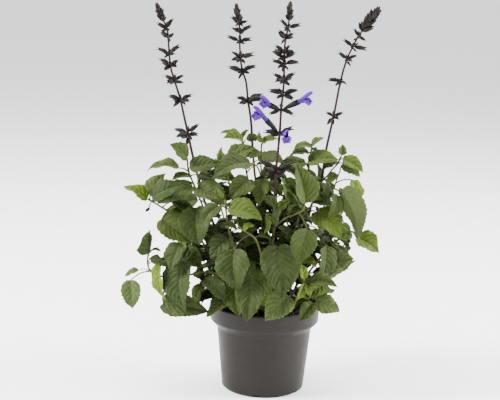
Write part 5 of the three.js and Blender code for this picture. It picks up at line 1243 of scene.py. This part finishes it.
CRUMB_RANGES = {"reach": (0, 1), "bearing": (0, 6.283), "size": (1.0, 3.0), "tilt": (0, 3), "tilt_x": (0, 1),
                "tilt_y": (0, 1), "squash": (0.6, 1), "tone": (0, 1)}


def turned_profile(profile, sides):
    """A profile of (radius, height) turned round Z: rings of sides points."""
    profile = vec(profile)
    flat = profile[:, 0, None, None] * circle(sides)
    height = np.broadcast_to(profile[:, 1, None, None], flat.shape[:2] + (1,))
    return np.concatenate([flat, height], axis=2)


def rounded(profile, radius):
    """The profile with each inner corner replaced by a curve of five points that leaves it within the
    radius on either side: corner + (1 - s)^2 before + s^2 after."""
    profile = vec(profile)
    s = np.linspace(0, 1, 5)[:, None]
    points = [profile[:1]]
    for before, corner, after in zip(profile[:-2], profile[1:-1], profile[2:]):
        into, out = (end - corner for end in (before, after))
        into *= min(0.45, radius / np.linalg.norm(into))
        out *= min(0.45, radius / np.linalg.norm(out))
        points.append(corner + (1 - s) ** 2 * into + s ** 2 * out)
    return np.vstack([*points, profile[-1:]])


def cut_tools():
    """The drain holes in the pot's floor and the slots round its foot, as solids to be cut away."""
    shells = Shells()
    for k in range(DRAIN_HOLES):
        at = DRAIN_HOLE_CIRCLE * level((k + 0.5) * 2 * math.pi / DRAIN_HOLES)
        rings = turned_profile([[DRAIN_HOLE_RADIUS, -3], [DRAIN_HOLE_RADIUS, 6]], 28) + at
        shells.add(rings, [at - UP * 3, at + UP * 6])
    for k in range(DRAIN_SLOTS):
        out = level((k + 0.35) * 2 * math.pi / DRAIN_SLOTS)
        middle, beside = out * (BASE_RADIUS - 1), np.cross(UP, out)
        ring = vec([middle + out * a + beside * b for a, b in ((5.5, 6), (-5.5, 6), (-5.5, -6), (5.5, -6))])
        shells.add(np.stack([ring - UP * 4.1, ring + UP * 4.9]), [middle - UP * 4.1, middle + UP * 4.9])
    return shells.write("cut_tools", [])


def pot_piece(material):
    """The moulded pot: its profile turned round, with the drain holes and slots cut out."""
    shells = Shells()
    profile = dotted(rounded([*POT_OUTSIDE, *POT_INSIDE], 1.1), 9)
    shells.add(turned_profile(profile, POT_SIDES), [[0, 0, 0], [0, 0, POT_FLOOR]])
    piece = shells.write("moulded_pot", [material])
    tools = cut_tools()
    cut = piece.modifiers.new("drain", "BOOLEAN")
    cut.operation, cut.object, cut.solver = "DIFFERENCE", tools, "EXACT"
    bpy.context.view_layer.update()
    evaluated = piece.evaluated_get(bpy.context.evaluated_depsgraph_get())
    mesh = bpy.data.meshes.new_from_object(evaluated)
    piece.modifiers.clear()
    piece.data = mesh
    bpy.data.objects.remove(tools)
    mesh.set_sharp_from_angle(angle=math.radians(40))
    stand_for(piece, "pot", "pot")


def soil_piece(sizes, material):
    """The peat fills the pot and is crumbly on top: a disc of fine rings raised by three sizes of noise,
    with loose crumbs on it."""
    shells, draws = Shells(), Draws(SEEDS["soil"])
    top = turned_profile([[r, SOIL_TOP] for r in np.linspace(1.2, 90, 64)], SOIL_SIDES)
    lumps = lattice_noise(top, 11, 1) + 0.6 * lattice_noise(top, 4.2, 2) + 0.3 * lattice_noise(top, 1.7, 3)
    reach = np.linalg.norm(top[..., :2], axis=2)
    top[..., 2] += sizes.crumb / MM * lumps * (1 - 0.6 * ease(reach, 80, 90)) + 0.8
    rings = np.concatenate([turned_profile(SOIL_WALL, SOIL_SIDES), top[::-1]])
    shells.add(rings, [[0, 0, POT_FLOOR + SEAT_GAP], [0, 0, SOIL_TOP + 0.5]], 0, tone=0.4)
    for _ in range(CRUMBS):
        own = draws.each(CRUMB_RANGES)
        at = 86 * math.sqrt(own.reach) * level(own.bearing) + UP * (SOIL_TOP + 0.9 + 0.3 * own.size)
        crumb = turned_profile([[0.7, -0.6], [1, 0.0], [0.7, 0.6]], 6) * own.size
        crumb = crumb * (1 + 0.3 * lattice_noise(crumb + at, 1.5, 5)[..., None])
        tilt = Matrix.Rotation(own.tilt, 3, (own.tilt_x, own.tilt_y, 0.4))
        crumb = crumb @ np.array(tilt) * vec([1, own.squash, 0.7]) + at
        shells.add(crumb, [crumb[0].mean(0), crumb[-1].mean(0)], 0, tone=own.tone ** 2)
    stand_for(shells.write("peat", [material]), "soil", "soil")


# ---------------------------------------------------------------- materials
def linear(code):
    """An sRGB hex colour as linear red, green, blue and an alpha of 1."""
    parts = [int(code[i:i + 2], 16) / 255 for i in (1, 3, 5)]
    return [p / 12.92 if p <= 0.04045 else ((p + 0.055) / 1.055) ** 2.4 for p in parts] + [1.0]


def output_of(node):
    return next(output for output in node.outputs if output.enabled)


class Paint:
    """A material under way: one Principled shader, whose plain numbers and colours are set on its sockets,
    and the base colour that has been laid on so far."""

    def __init__(self, name, **shader):
        self.material = bpy.data.materials.new(name)
        self.material.use_nodes = True
        self.tree = self.material.node_tree
        self.shader = self.tree.nodes["Principled BSDF"]
        self.place = self.add("TexCoord").outputs["Object"]
        self.base = None
        for key, value in shader.items():
            self.shader.inputs[key.replace("_", " ")].default_value = value

    def add(self, kind, inputs=(), stops=(), **settings):
        """Adds a node, sets its settings and its inputs, and returns it. An input is named, or is the place
        of a socket among those in use, and is given a value, or a node or an output to be linked from.
        Stops are a colour ramp's places and hex colours."""
        made = self.tree.nodes.new("ShaderNode" + kind)
        for name, value in settings.items():
            setattr(made, name, value)
        sockets = [socket for socket in made.inputs if socket.enabled]
        for key, value in dict(inputs).items():
            socket = sockets[key] if isinstance(key, int) else next(s for s in sockets if s.name == key)
            if isinstance(value, bpy.types.Node):
                value = output_of(value)
            if isinstance(value, bpy.types.NodeSocket):
                self.tree.links.new(value, socket)
            else:
                socket.default_value = value
        for i, (place, code) in enumerate(stops):
            bands = made.color_ramp.elements
            band = bands[i] if i < len(bands) else bands.new(place)
            band.position, band.color = place, linear(code) if isinstance(code, str) else [*code, 1.0]
        return made

    def texture(self, kind, mm, stretch=(), **inputs):
        """A texture whose grain is so many mm across in the object's own coordinates, or longer."""
        at = self.add("Mapping", {"Vector": self.place, "Scale": stretch}) if stretch else self.place
        return self.add(kind, {"Vector": at, "Scale": 1 / (mm * MM), **inputs})

    def off_vein(self):
        """How far a point lies from the nearest vein. The vein attribute counts the veins, so it is a whole
        number on each of them."""
        return self.add("Math", {0: self.add("Attribute", attribute_name="vein"), 1: 0.5}, operation="PINGPONG")

    def lay(self, value, low, high, first, last, code):
        """Lays a colour over the base: by the share first where the value is low or less, by last where it
        is high or more, and evenly between them."""
        share = self.add("MapRange", {"Value": value, "From Min": low, "From Max": high, "To Min": first,
                                      "To Max": last})
        self.base = self.add("Mix", {0: share, 1: self.base, 2: linear(code)}, data_type="RGBA")

    def done(self, *bumps, **links):
        """Lays the bumps on each other, each with its source, its strength and its height in mm, links the
        shader's inputs, and gives the material."""
        for height, strength, mm in bumps:
            below = {"Normal": links["Normal"]} if "Normal" in links else {}
            links["Normal"] = self.add("Bump", {"Height": height, "Strength": strength, "Distance": mm * MM,
                                                **below})
        for key, node in {"Base Color": self.base, **links}.items():
            self.tree.links.new(output_of(node), self.shader.inputs[key])
        return self.material


def leaf_material(colours):
    """Sage leaf, puckered between its veins and covered with short down: a matt green with a grey bloom, a line of
    painted shade in each sunk vein, a paler midrib, and a paler, veined underside."""
    paint = Paint("sage_leaf_puckered_downy", Roughness=0.6, IOR=1.42, Specular_IOR_Level=0.1,
                  Sheen_Weight=0.02, Sheen_Roughness=0.5, Sheen_Tint=linear("#D8DEC2"), Subsurface_Weight=0.1,
                  Subsurface_Scale=0.0012, Subsurface_Radius=(0.4, 1.0, 0.15))
    greens = [getattr(colours, "leaf_" + name) for name in ("dark", "mid", "light", "young", "grey")]
    # The base green follows each leaf's tone, which is partly painted light and shade: the shaded green is painted
    # shade.
    tone = paint.add("Attribute", attribute_name="tone")
    paint.base = paint.add("ValToRGB", {"Fac": tone}, zip(TONES, greens))
    # Patches of 9 mm, where the down lies thicker, are greyer, and patches of 3.5 mm are deeper.
    paint.lay(paint.texture("TexNoise", 9, Detail=3.0), 0.48, 0.7, 0, 0.3, "#454F2C")
    paint.lay(paint.texture("TexNoise", 3.5, Detail=4.0), 0.42, 0.7, 0, 0.4, "#1D2610")
    # The sunk side veins are darkened as painted shade, the midrib is pale, and so is the whole underside.
    paint.lay(paint.off_vein(), 0.02, 0.13, 0.45, 0, "#1A230E")
    across = paint.add("Attribute", attribute_name="across")
    paint.lay(paint.add("Math", {0: across}, operation="ABSOLUTE"), 0.01, 0.035, 0.3, 0, "#525E2C")
    paint.lay(paint.add("Attribute", attribute_name="under"), 0, 1, 0, 0.5, "#48542F")
    # The net of small veins is drawn at 1.8 mm, twice its real mesh, so that it shows.
    net = paint.texture("TexVoronoi", 1.8)
    net.feature = "DISTANCE_TO_EDGE"
    return paint.done((net, 0.55, 0.3), (paint.texture("TexNoise", 0.5, Detail=3.0), 0.35, 0.1))


def stem_material(name, young, old):
    """Square herb stem, ribbed at its corners and finely downy: a soft dull gloss, streaks along it, and a
    flush of purple-brown on the older parts."""
    paint = Paint(name, Roughness=0.55, IOR=1.42, Specular_IOR_Level=0.15)
    tone = paint.add("Attribute", attribute_name="tone")
    flush = paint.add("MapRange", {"Value": paint.texture("TexNoise", 14, Detail=2.0), "From Min": 0.3,
                                   "From Max": 0.7, "To Min": -0.15, "To Max": 0.15})
    age = paint.add("Math", {0: tone, 1: flush}, operation="ADD", use_clamp=True)
    paint.base = paint.add("ValToRGB", {"Fac": age}, [(0.0, old), (1.0, young)])
    # Streaks 1.5 mm wide and 20 mm long run up the stem.
    streak = paint.texture("TexNoise", 1.5, (1.0, 1.0, 0.08), Detail=3.0)
    paint.lay(streak, 0.4, 0.7, 0, 0.35, "#1A1510")
    return paint.done((streak, 0.5, 0.2))


def calyx_material(colours):
    """Calyx of thin herb tissue flushed nearly black, ribbed along its length and set with tiny glands: a dark
    brown-black, with a painted highlight of dull gloss along the ribs."""
    paint = Paint("calyx_brown_black_ribbed", Roughness=0.6, IOR=1.45, Specular_IOR_Level=0.13)
    tone = paint.add("Attribute", attribute_name="tone")
    blacks = [(0.0, "#0B0908"), (0.5, colours.calyx), (1.0, "#2B2220")]
    paint.base = paint.add("ValToRGB", {"Fac": tone}, blacks)
    # Painted highlight: the ribs are laid a little lighter.
    paint.lay(paint.off_vein(), 0, 0.3, 0.3, 0, "#1E1716")
    paint.lay(paint.texture("TexNoise", 3, Detail=3.0), 0.4, 0.7, 0, 0.5, "#0E0B0A")
    return paint.done((paint.texture("TexVoronoi", 0.6), 0.4, 0.1))


def petal_material(colours):
    """Petal, thin and velvety: violet, deeper down the tube, with fine darker lines along it and a soft
    sheen from its short hairs."""
    paint = Paint("petal_violet_velvety", Roughness=0.55, IOR=1.4, Specular_IOR_Level=0.2, Sheen_Weight=0.05,
                  Sheen_Roughness=0.4, Sheen_Tint=linear("#B79BFF"), Subsurface_Weight=0.15,
                  Subsurface_Scale=0.001, Subsurface_Radius=(0.8, 0.4, 1.0))
    tone = paint.add("Attribute", attribute_name="tone")
    violets = [(0.0, "#221044"), (0.3, colours.tube), (0.7, colours.petal), (1.0, "#56228F")]
    paint.base = paint.add("ValToRGB", {"Fac": tone}, violets)
    paint.lay(paint.off_vein(), 0, 0.2, 0.3, 0, "#2C1260")
    paint.lay(paint.texture("TexNoise", 4, Detail=2.0), 0.4, 0.7, 0, 0.25, "#381672")
    return paint.done((paint.texture("TexNoise", 0.6, Detail=2.0), 0.3, 0.08))


def pot_material(colours):
    """Recycled polypropylene, injection moulded against a spark-eroded mould: taupe-grey with an even dull
    gloss, a fine matt grain, faint flow marks round it, and a little dry peat dust."""
    paint = Paint("polypropylene_taupe_moulded_matt", IOR=1.49, Specular_IOR_Level=0.16)
    flow = paint.texture("TexNoise", 55, (1.0, 1.0, 7.0), Detail=3.0)
    paint.base = paint.add("ValToRGB", {"Fac": flow}, [(0.0, colours.pot), (1.0, "#14110F")])
    cloud = paint.texture("TexNoise", 16, Detail=6.0, Roughness=0.7)
    paint.lay(cloud, 0.5, 0.75, 0, 0.3, "#2B2520")
    # The mould's grain is 0.3 mm and is drawn at 0.9 mm, so that it shows.
    grain = paint.texture("TexNoise", 0.9, Detail=2.0)
    dull = paint.add("MapRange", {"Value": cloud, "From Min": 0.3, "From Max": 0.7, "To Min": 0.4,
                                  "To Max": 0.56})
    return paint.done((grain, 0.3, 0.08), (flow, 0.2, 0.4), Roughness=dull)


def peat_material(colours):
    """Moist peat compost, loose and fibrous: nearly black crumbs with browner bits, no gloss."""
    paint = Paint("peat_moist_crumbly", Roughness=0.92, IOR=1.4)
    crumb = paint.texture("TexNoise", 2.2, Detail=5.0)
    mixed = paint.add("Mix", {0: 0.5, 1: paint.add("Attribute", attribute_name="tone"), 2: crumb})
    paint.base = paint.add("ValToRGB", {"Fac": mixed}, [(0.2, "#12100D"), (0.5, colours.peat), (0.8, "#5A4838")])
    return paint.done((crumb, 0.9, 0.6))


def floor_material():
    """Matt white studio board: an even pale floor with the faintest mottle."""
    paint = Paint("studio_board_white_matt", Roughness=0.9)
    cloud = paint.texture("TexNoise", 60, Detail=2.0)
    paint.base = paint.add("ValToRGB", {"Fac": cloud}, [(0.3, "#F6F6F5"), (0.7, "#FAFAF9")])
    return paint.done()


# ---------------------------------------------------------------- the add-on
def length_of(name, description, mm):
    return bpy.props.FloatProperty(name=name, description=description, default=mm * MM, min=0.0,
                                   unit="LENGTH", precision=5)


def tint(name, description, code):
    return bpy.props.FloatVectorProperty(name=name, description=description, default=linear(code)[:3],
                                         size=3, min=0.0, max=1.0, subtype="COLOR")


class SalviaSizes(bpy.types.PropertyGroup):
    blade: length_of("Blade thickness", "Thickness of a leaf's blade between its veins", 0.7)
    tooth_depth: length_of("Tooth depth", "Depth of the rounded teeth along a leaf's margin", 2.0)
    pucker: length_of("Pucker", "Height that a leaf's face rises to between its side veins", 1.9)
    petal: length_of("Petal thickness", "Thickness of a flower's tube, hood and lip", 0.4)
    crumb: length_of("Crumb", "Height of the crumbs on the soil", 2.2)


class SalviaColours(bpy.types.PropertyGroup):
    # The leaf greens serve partly as painted light and shade: leaf_dark is painted shade on shaded leaves, and the
    # lighter greens are partly painted light.
    leaf_dark: tint("Shaded leaf", "Leaves low in the plant", "#263014")
    leaf_mid: tint("Grown leaf", "Full-grown leaves", "#2E3915")
    leaf_light: tint("Light leaf", "Leaves near the shoots' ends", "#414F1E")
    leaf_young: tint("Young leaf", "The shoots' newest leaves", "#536614")
    leaf_grey: tint("Downy leaf", "Leaves with the thickest down", "#45522B")
    shoot: tint("Shoot", "The leafy stems where they are young", "#4F5A24")
    old_shoot: tint("Old shoot", "The leafy stems near the soil", "#31281A")
    spike_stem: tint("Spike stem", "The flower spikes' stems", "#2A1A19")
    calyx: tint("Calyx", "The calyces and the buds", "#161210")
    tube: tint("Flower tube", "The flowers' tubes", "#2D0E5C")
    petal: tint("Petal", "The flowers' hoods and lips", "#4A1983")
    pot: tint("Pot", "The moulded pot", "#1C1713")
    peat: tint("Peat", "The soil", "#1E1712")


# Each lamp: its name, its place in metres, its size and its power.
LAMPS = [
    ("key_softbox", (-2.2, -0.5, 1.9), 1.2, 290.0),
    ("side_softbox", (2.5, -0.1, 1.3), 1.3, 220.0),
    ("back_softbox", (0.3, 1.2, 2.7), 1.6, 110.0),
]
LAMPS_AIM = (0, 0, 0.3)
AIR_COLOUR, AIR_STRENGTH = "#FAFBFC", 1.7
CAMERA_PLACE, CAMERA_AIM = vec([-30.6, -2162.8, 732.1]) * MM, vec([-30.6, 0, 329.3]) * MM
CAMERA_RIGHT = vec([0.9996, 0.0052, 0.0281])
CAMERA_LENS, SENSOR_WIDTH = 92.8, 36.0
FLOOR_HALF = 40.0


def placed(context, name, data, place, aim, right):
    """An object at a place whose -Z looks at the aim and whose X lies along `right` as nearly as it can."""
    back = unit(vec(place) - vec(aim))
    x = square_to(vec(right), back)
    pose = np.eye(4)
    pose[:3] = np.stack([x, np.cross(back, x), back, place], axis=1)
    made = bpy.data.objects.new(name, data)
    context.scene.collection.objects.link(made)
    made.matrix_world = Matrix(pose.tolist())
    return made


def lay_floor(context):
    mesh = bpy.data.meshes.new("studio_floor")
    corners = [(x * FLOOR_HALF, y * FLOOR_HALF, 0) for x, y in ((-1, -1), (1, -1), (1, 1), (-1, 1))]
    mesh.from_pydata(corners, [], [(0, 1, 2, 3)])
    mesh.materials.append(floor_material())
    floor = bpy.data.objects.new("studio_floor", mesh)
    context.scene.collection.objects.link(floor)
    floor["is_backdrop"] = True


def light(context):
    """The even pale air, and the lamps."""
    world = bpy.data.worlds.new("studio_air")
    world.use_nodes = True
    air = world.node_tree.nodes["Background"]
    air.inputs["Color"].default_value = linear(AIR_COLOUR)
    air.inputs["Strength"].default_value = AIR_STRENGTH
    context.scene.world = world
    for name, place, size, power in LAMPS:
        lamp = bpy.data.lights.new(name, "AREA")
        lamp.shape, lamp.size, lamp.energy = "DISK", size, power
        placed(context, name, lamp, place, LAMPS_AIM, np.cross(UP, vec(place) - vec(LAMPS_AIM)))


def set_camera(context):
    lens = bpy.data.cameras.new("camera")
    lens.lens, lens.sensor_width = CAMERA_LENS, SENSOR_WIDTH
    lens.clip_start, lens.clip_end = 0.1, 200.0
    context.scene.camera = placed(context, "camera", lens, CAMERA_PLACE, CAMERA_AIM, CAMERA_RIGHT)


_grown = {}


def plant():
    """The grown plant, worked out once."""
    if not _grown:
        _grown.update(grow())
    return _grown


class SALVIA_OT_stage(bpy.types.Operator):
    """Lays the pale floor and sets the soft lights and the camera"""

    bl_idname = "salvia.stage"
    bl_label = "Stage"

    def execute(self, context):
        lay_floor(context)
        light(context)
        set_camera(context)
        return {"FINISHED"}


class SALVIA_OT_pot(bpy.types.Operator):
    """Builds the moulded pot"""

    bl_idname = "salvia.pot"
    bl_label = "Pot"

    def execute(self, context):
        pot_piece(pot_material(context.scene.salvia_colours))
        return {"FINISHED"}


class SALVIA_OT_soil(bpy.types.Operator):
    """Fills the pot with peat"""

    bl_idname = "salvia.soil"
    bl_label = "Soil"

    def execute(self, context):
        soil_piece(context.scene.salvia_sizes, peat_material(context.scene.salvia_colours))
        return {"FINISHED"}


class SALVIA_OT_foliage(bpy.types.Operator):
    """Grows the stems and their leaves"""

    bl_idname = "salvia.foliage"
    bl_label = "Stems and leaves"

    def execute(self, context):
        colours = context.scene.salvia_colours
        materials = [leaf_material(colours),
                     stem_material("sage_stem_green_downy", colours.shoot, colours.old_shoot)]
        for node in dict.fromkeys(s["node"] for s in plant()["stems"]):
            leafy_piece(node, plant(), context.scene.salvia_sizes, materials)
        return {"FINISHED"}


class SALVIA_OT_spikes(bpy.types.Operator):
    """Builds the flower spikes, their calyces and their tips, and the young buds"""

    bl_idname = "salvia.spikes"
    bl_label = "Flower spikes"

    def execute(self, context):
        colours = context.scene.salvia_colours
        materials = [calyx_material(colours),
                     stem_material("spike_stem_purple_downy", colours.calyx, colours.spike_stem)]
        for order, spike in enumerate(plant()["spikes"]):
            spike_piece(spike, order, materials)
        for cluster in plant()["clusters"]:
            buds_piece(cluster, materials)
        return {"FINISHED"}


class SALVIA_OT_flowers(bpy.types.Operator):
    """Builds the open flowers"""

    bl_idname = "salvia.flowers"
    bl_label = "Flowers"

    def execute(self, context):
        petals = petal_material(context.scene.salvia_colours)
        for spike in plant()["spikes"]:
            for order, flower in enumerate(spike["flowers"]):
                corolla_piece(spike, flower, order, context.scene.salvia_sizes, petals)
        return {"FINISHED"}


OPERATORS = (SALVIA_OT_stage, SALVIA_OT_pot, SALVIA_OT_soil, SALVIA_OT_foliage, SALVIA_OT_spikes,
             SALVIA_OT_flowers)


class SALVIA_PT_panel(bpy.types.Panel):
    bl_idname = "SALVIA_PT_panel"
    bl_label = "Potted salvia"
    bl_space_type = "VIEW_3D"
    bl_region_type = "UI"
    bl_category = "Salvia"

    def draw(self, context):
        for group in (context.scene.salvia_sizes, context.scene.salvia_colours):
            for name in type(group).__annotations__:
                self.layout.prop(group, name)
        for operator in OPERATORS:
            self.layout.operator(operator.bl_idname)


CLASSES = (SalviaSizes, SalviaColours, *OPERATORS, SALVIA_PT_panel)


def register():
    for made in CLASSES:
        bpy.utils.register_class(made)
    bpy.types.Scene.salvia_sizes = bpy.props.PointerProperty(type=SalviaSizes)
    bpy.types.Scene.salvia_colours = bpy.props.PointerProperty(type=SalviaColours)


def unregister():
    del bpy.types.Scene.salvia_colours
    del bpy.types.Scene.salvia_sizes
    for made in reversed(CLASSES):
        bpy.utils.unregister_class(made)


def main():
    register()
    bpy.ops.salvia.stage()
    bpy.ops.salvia.pot()
    bpy.ops.salvia.soil()
    bpy.ops.salvia.foliage()
    bpy.ops.salvia.spikes()
    bpy.ops.salvia.flowers()
    boxes = {"cad": CAD_BOX, "visual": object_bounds()}
    plain = {name: [[float(x) for x in corner] for corner in box] for name, box in boxes.items()}


if __name__ == "__main__":
    main()
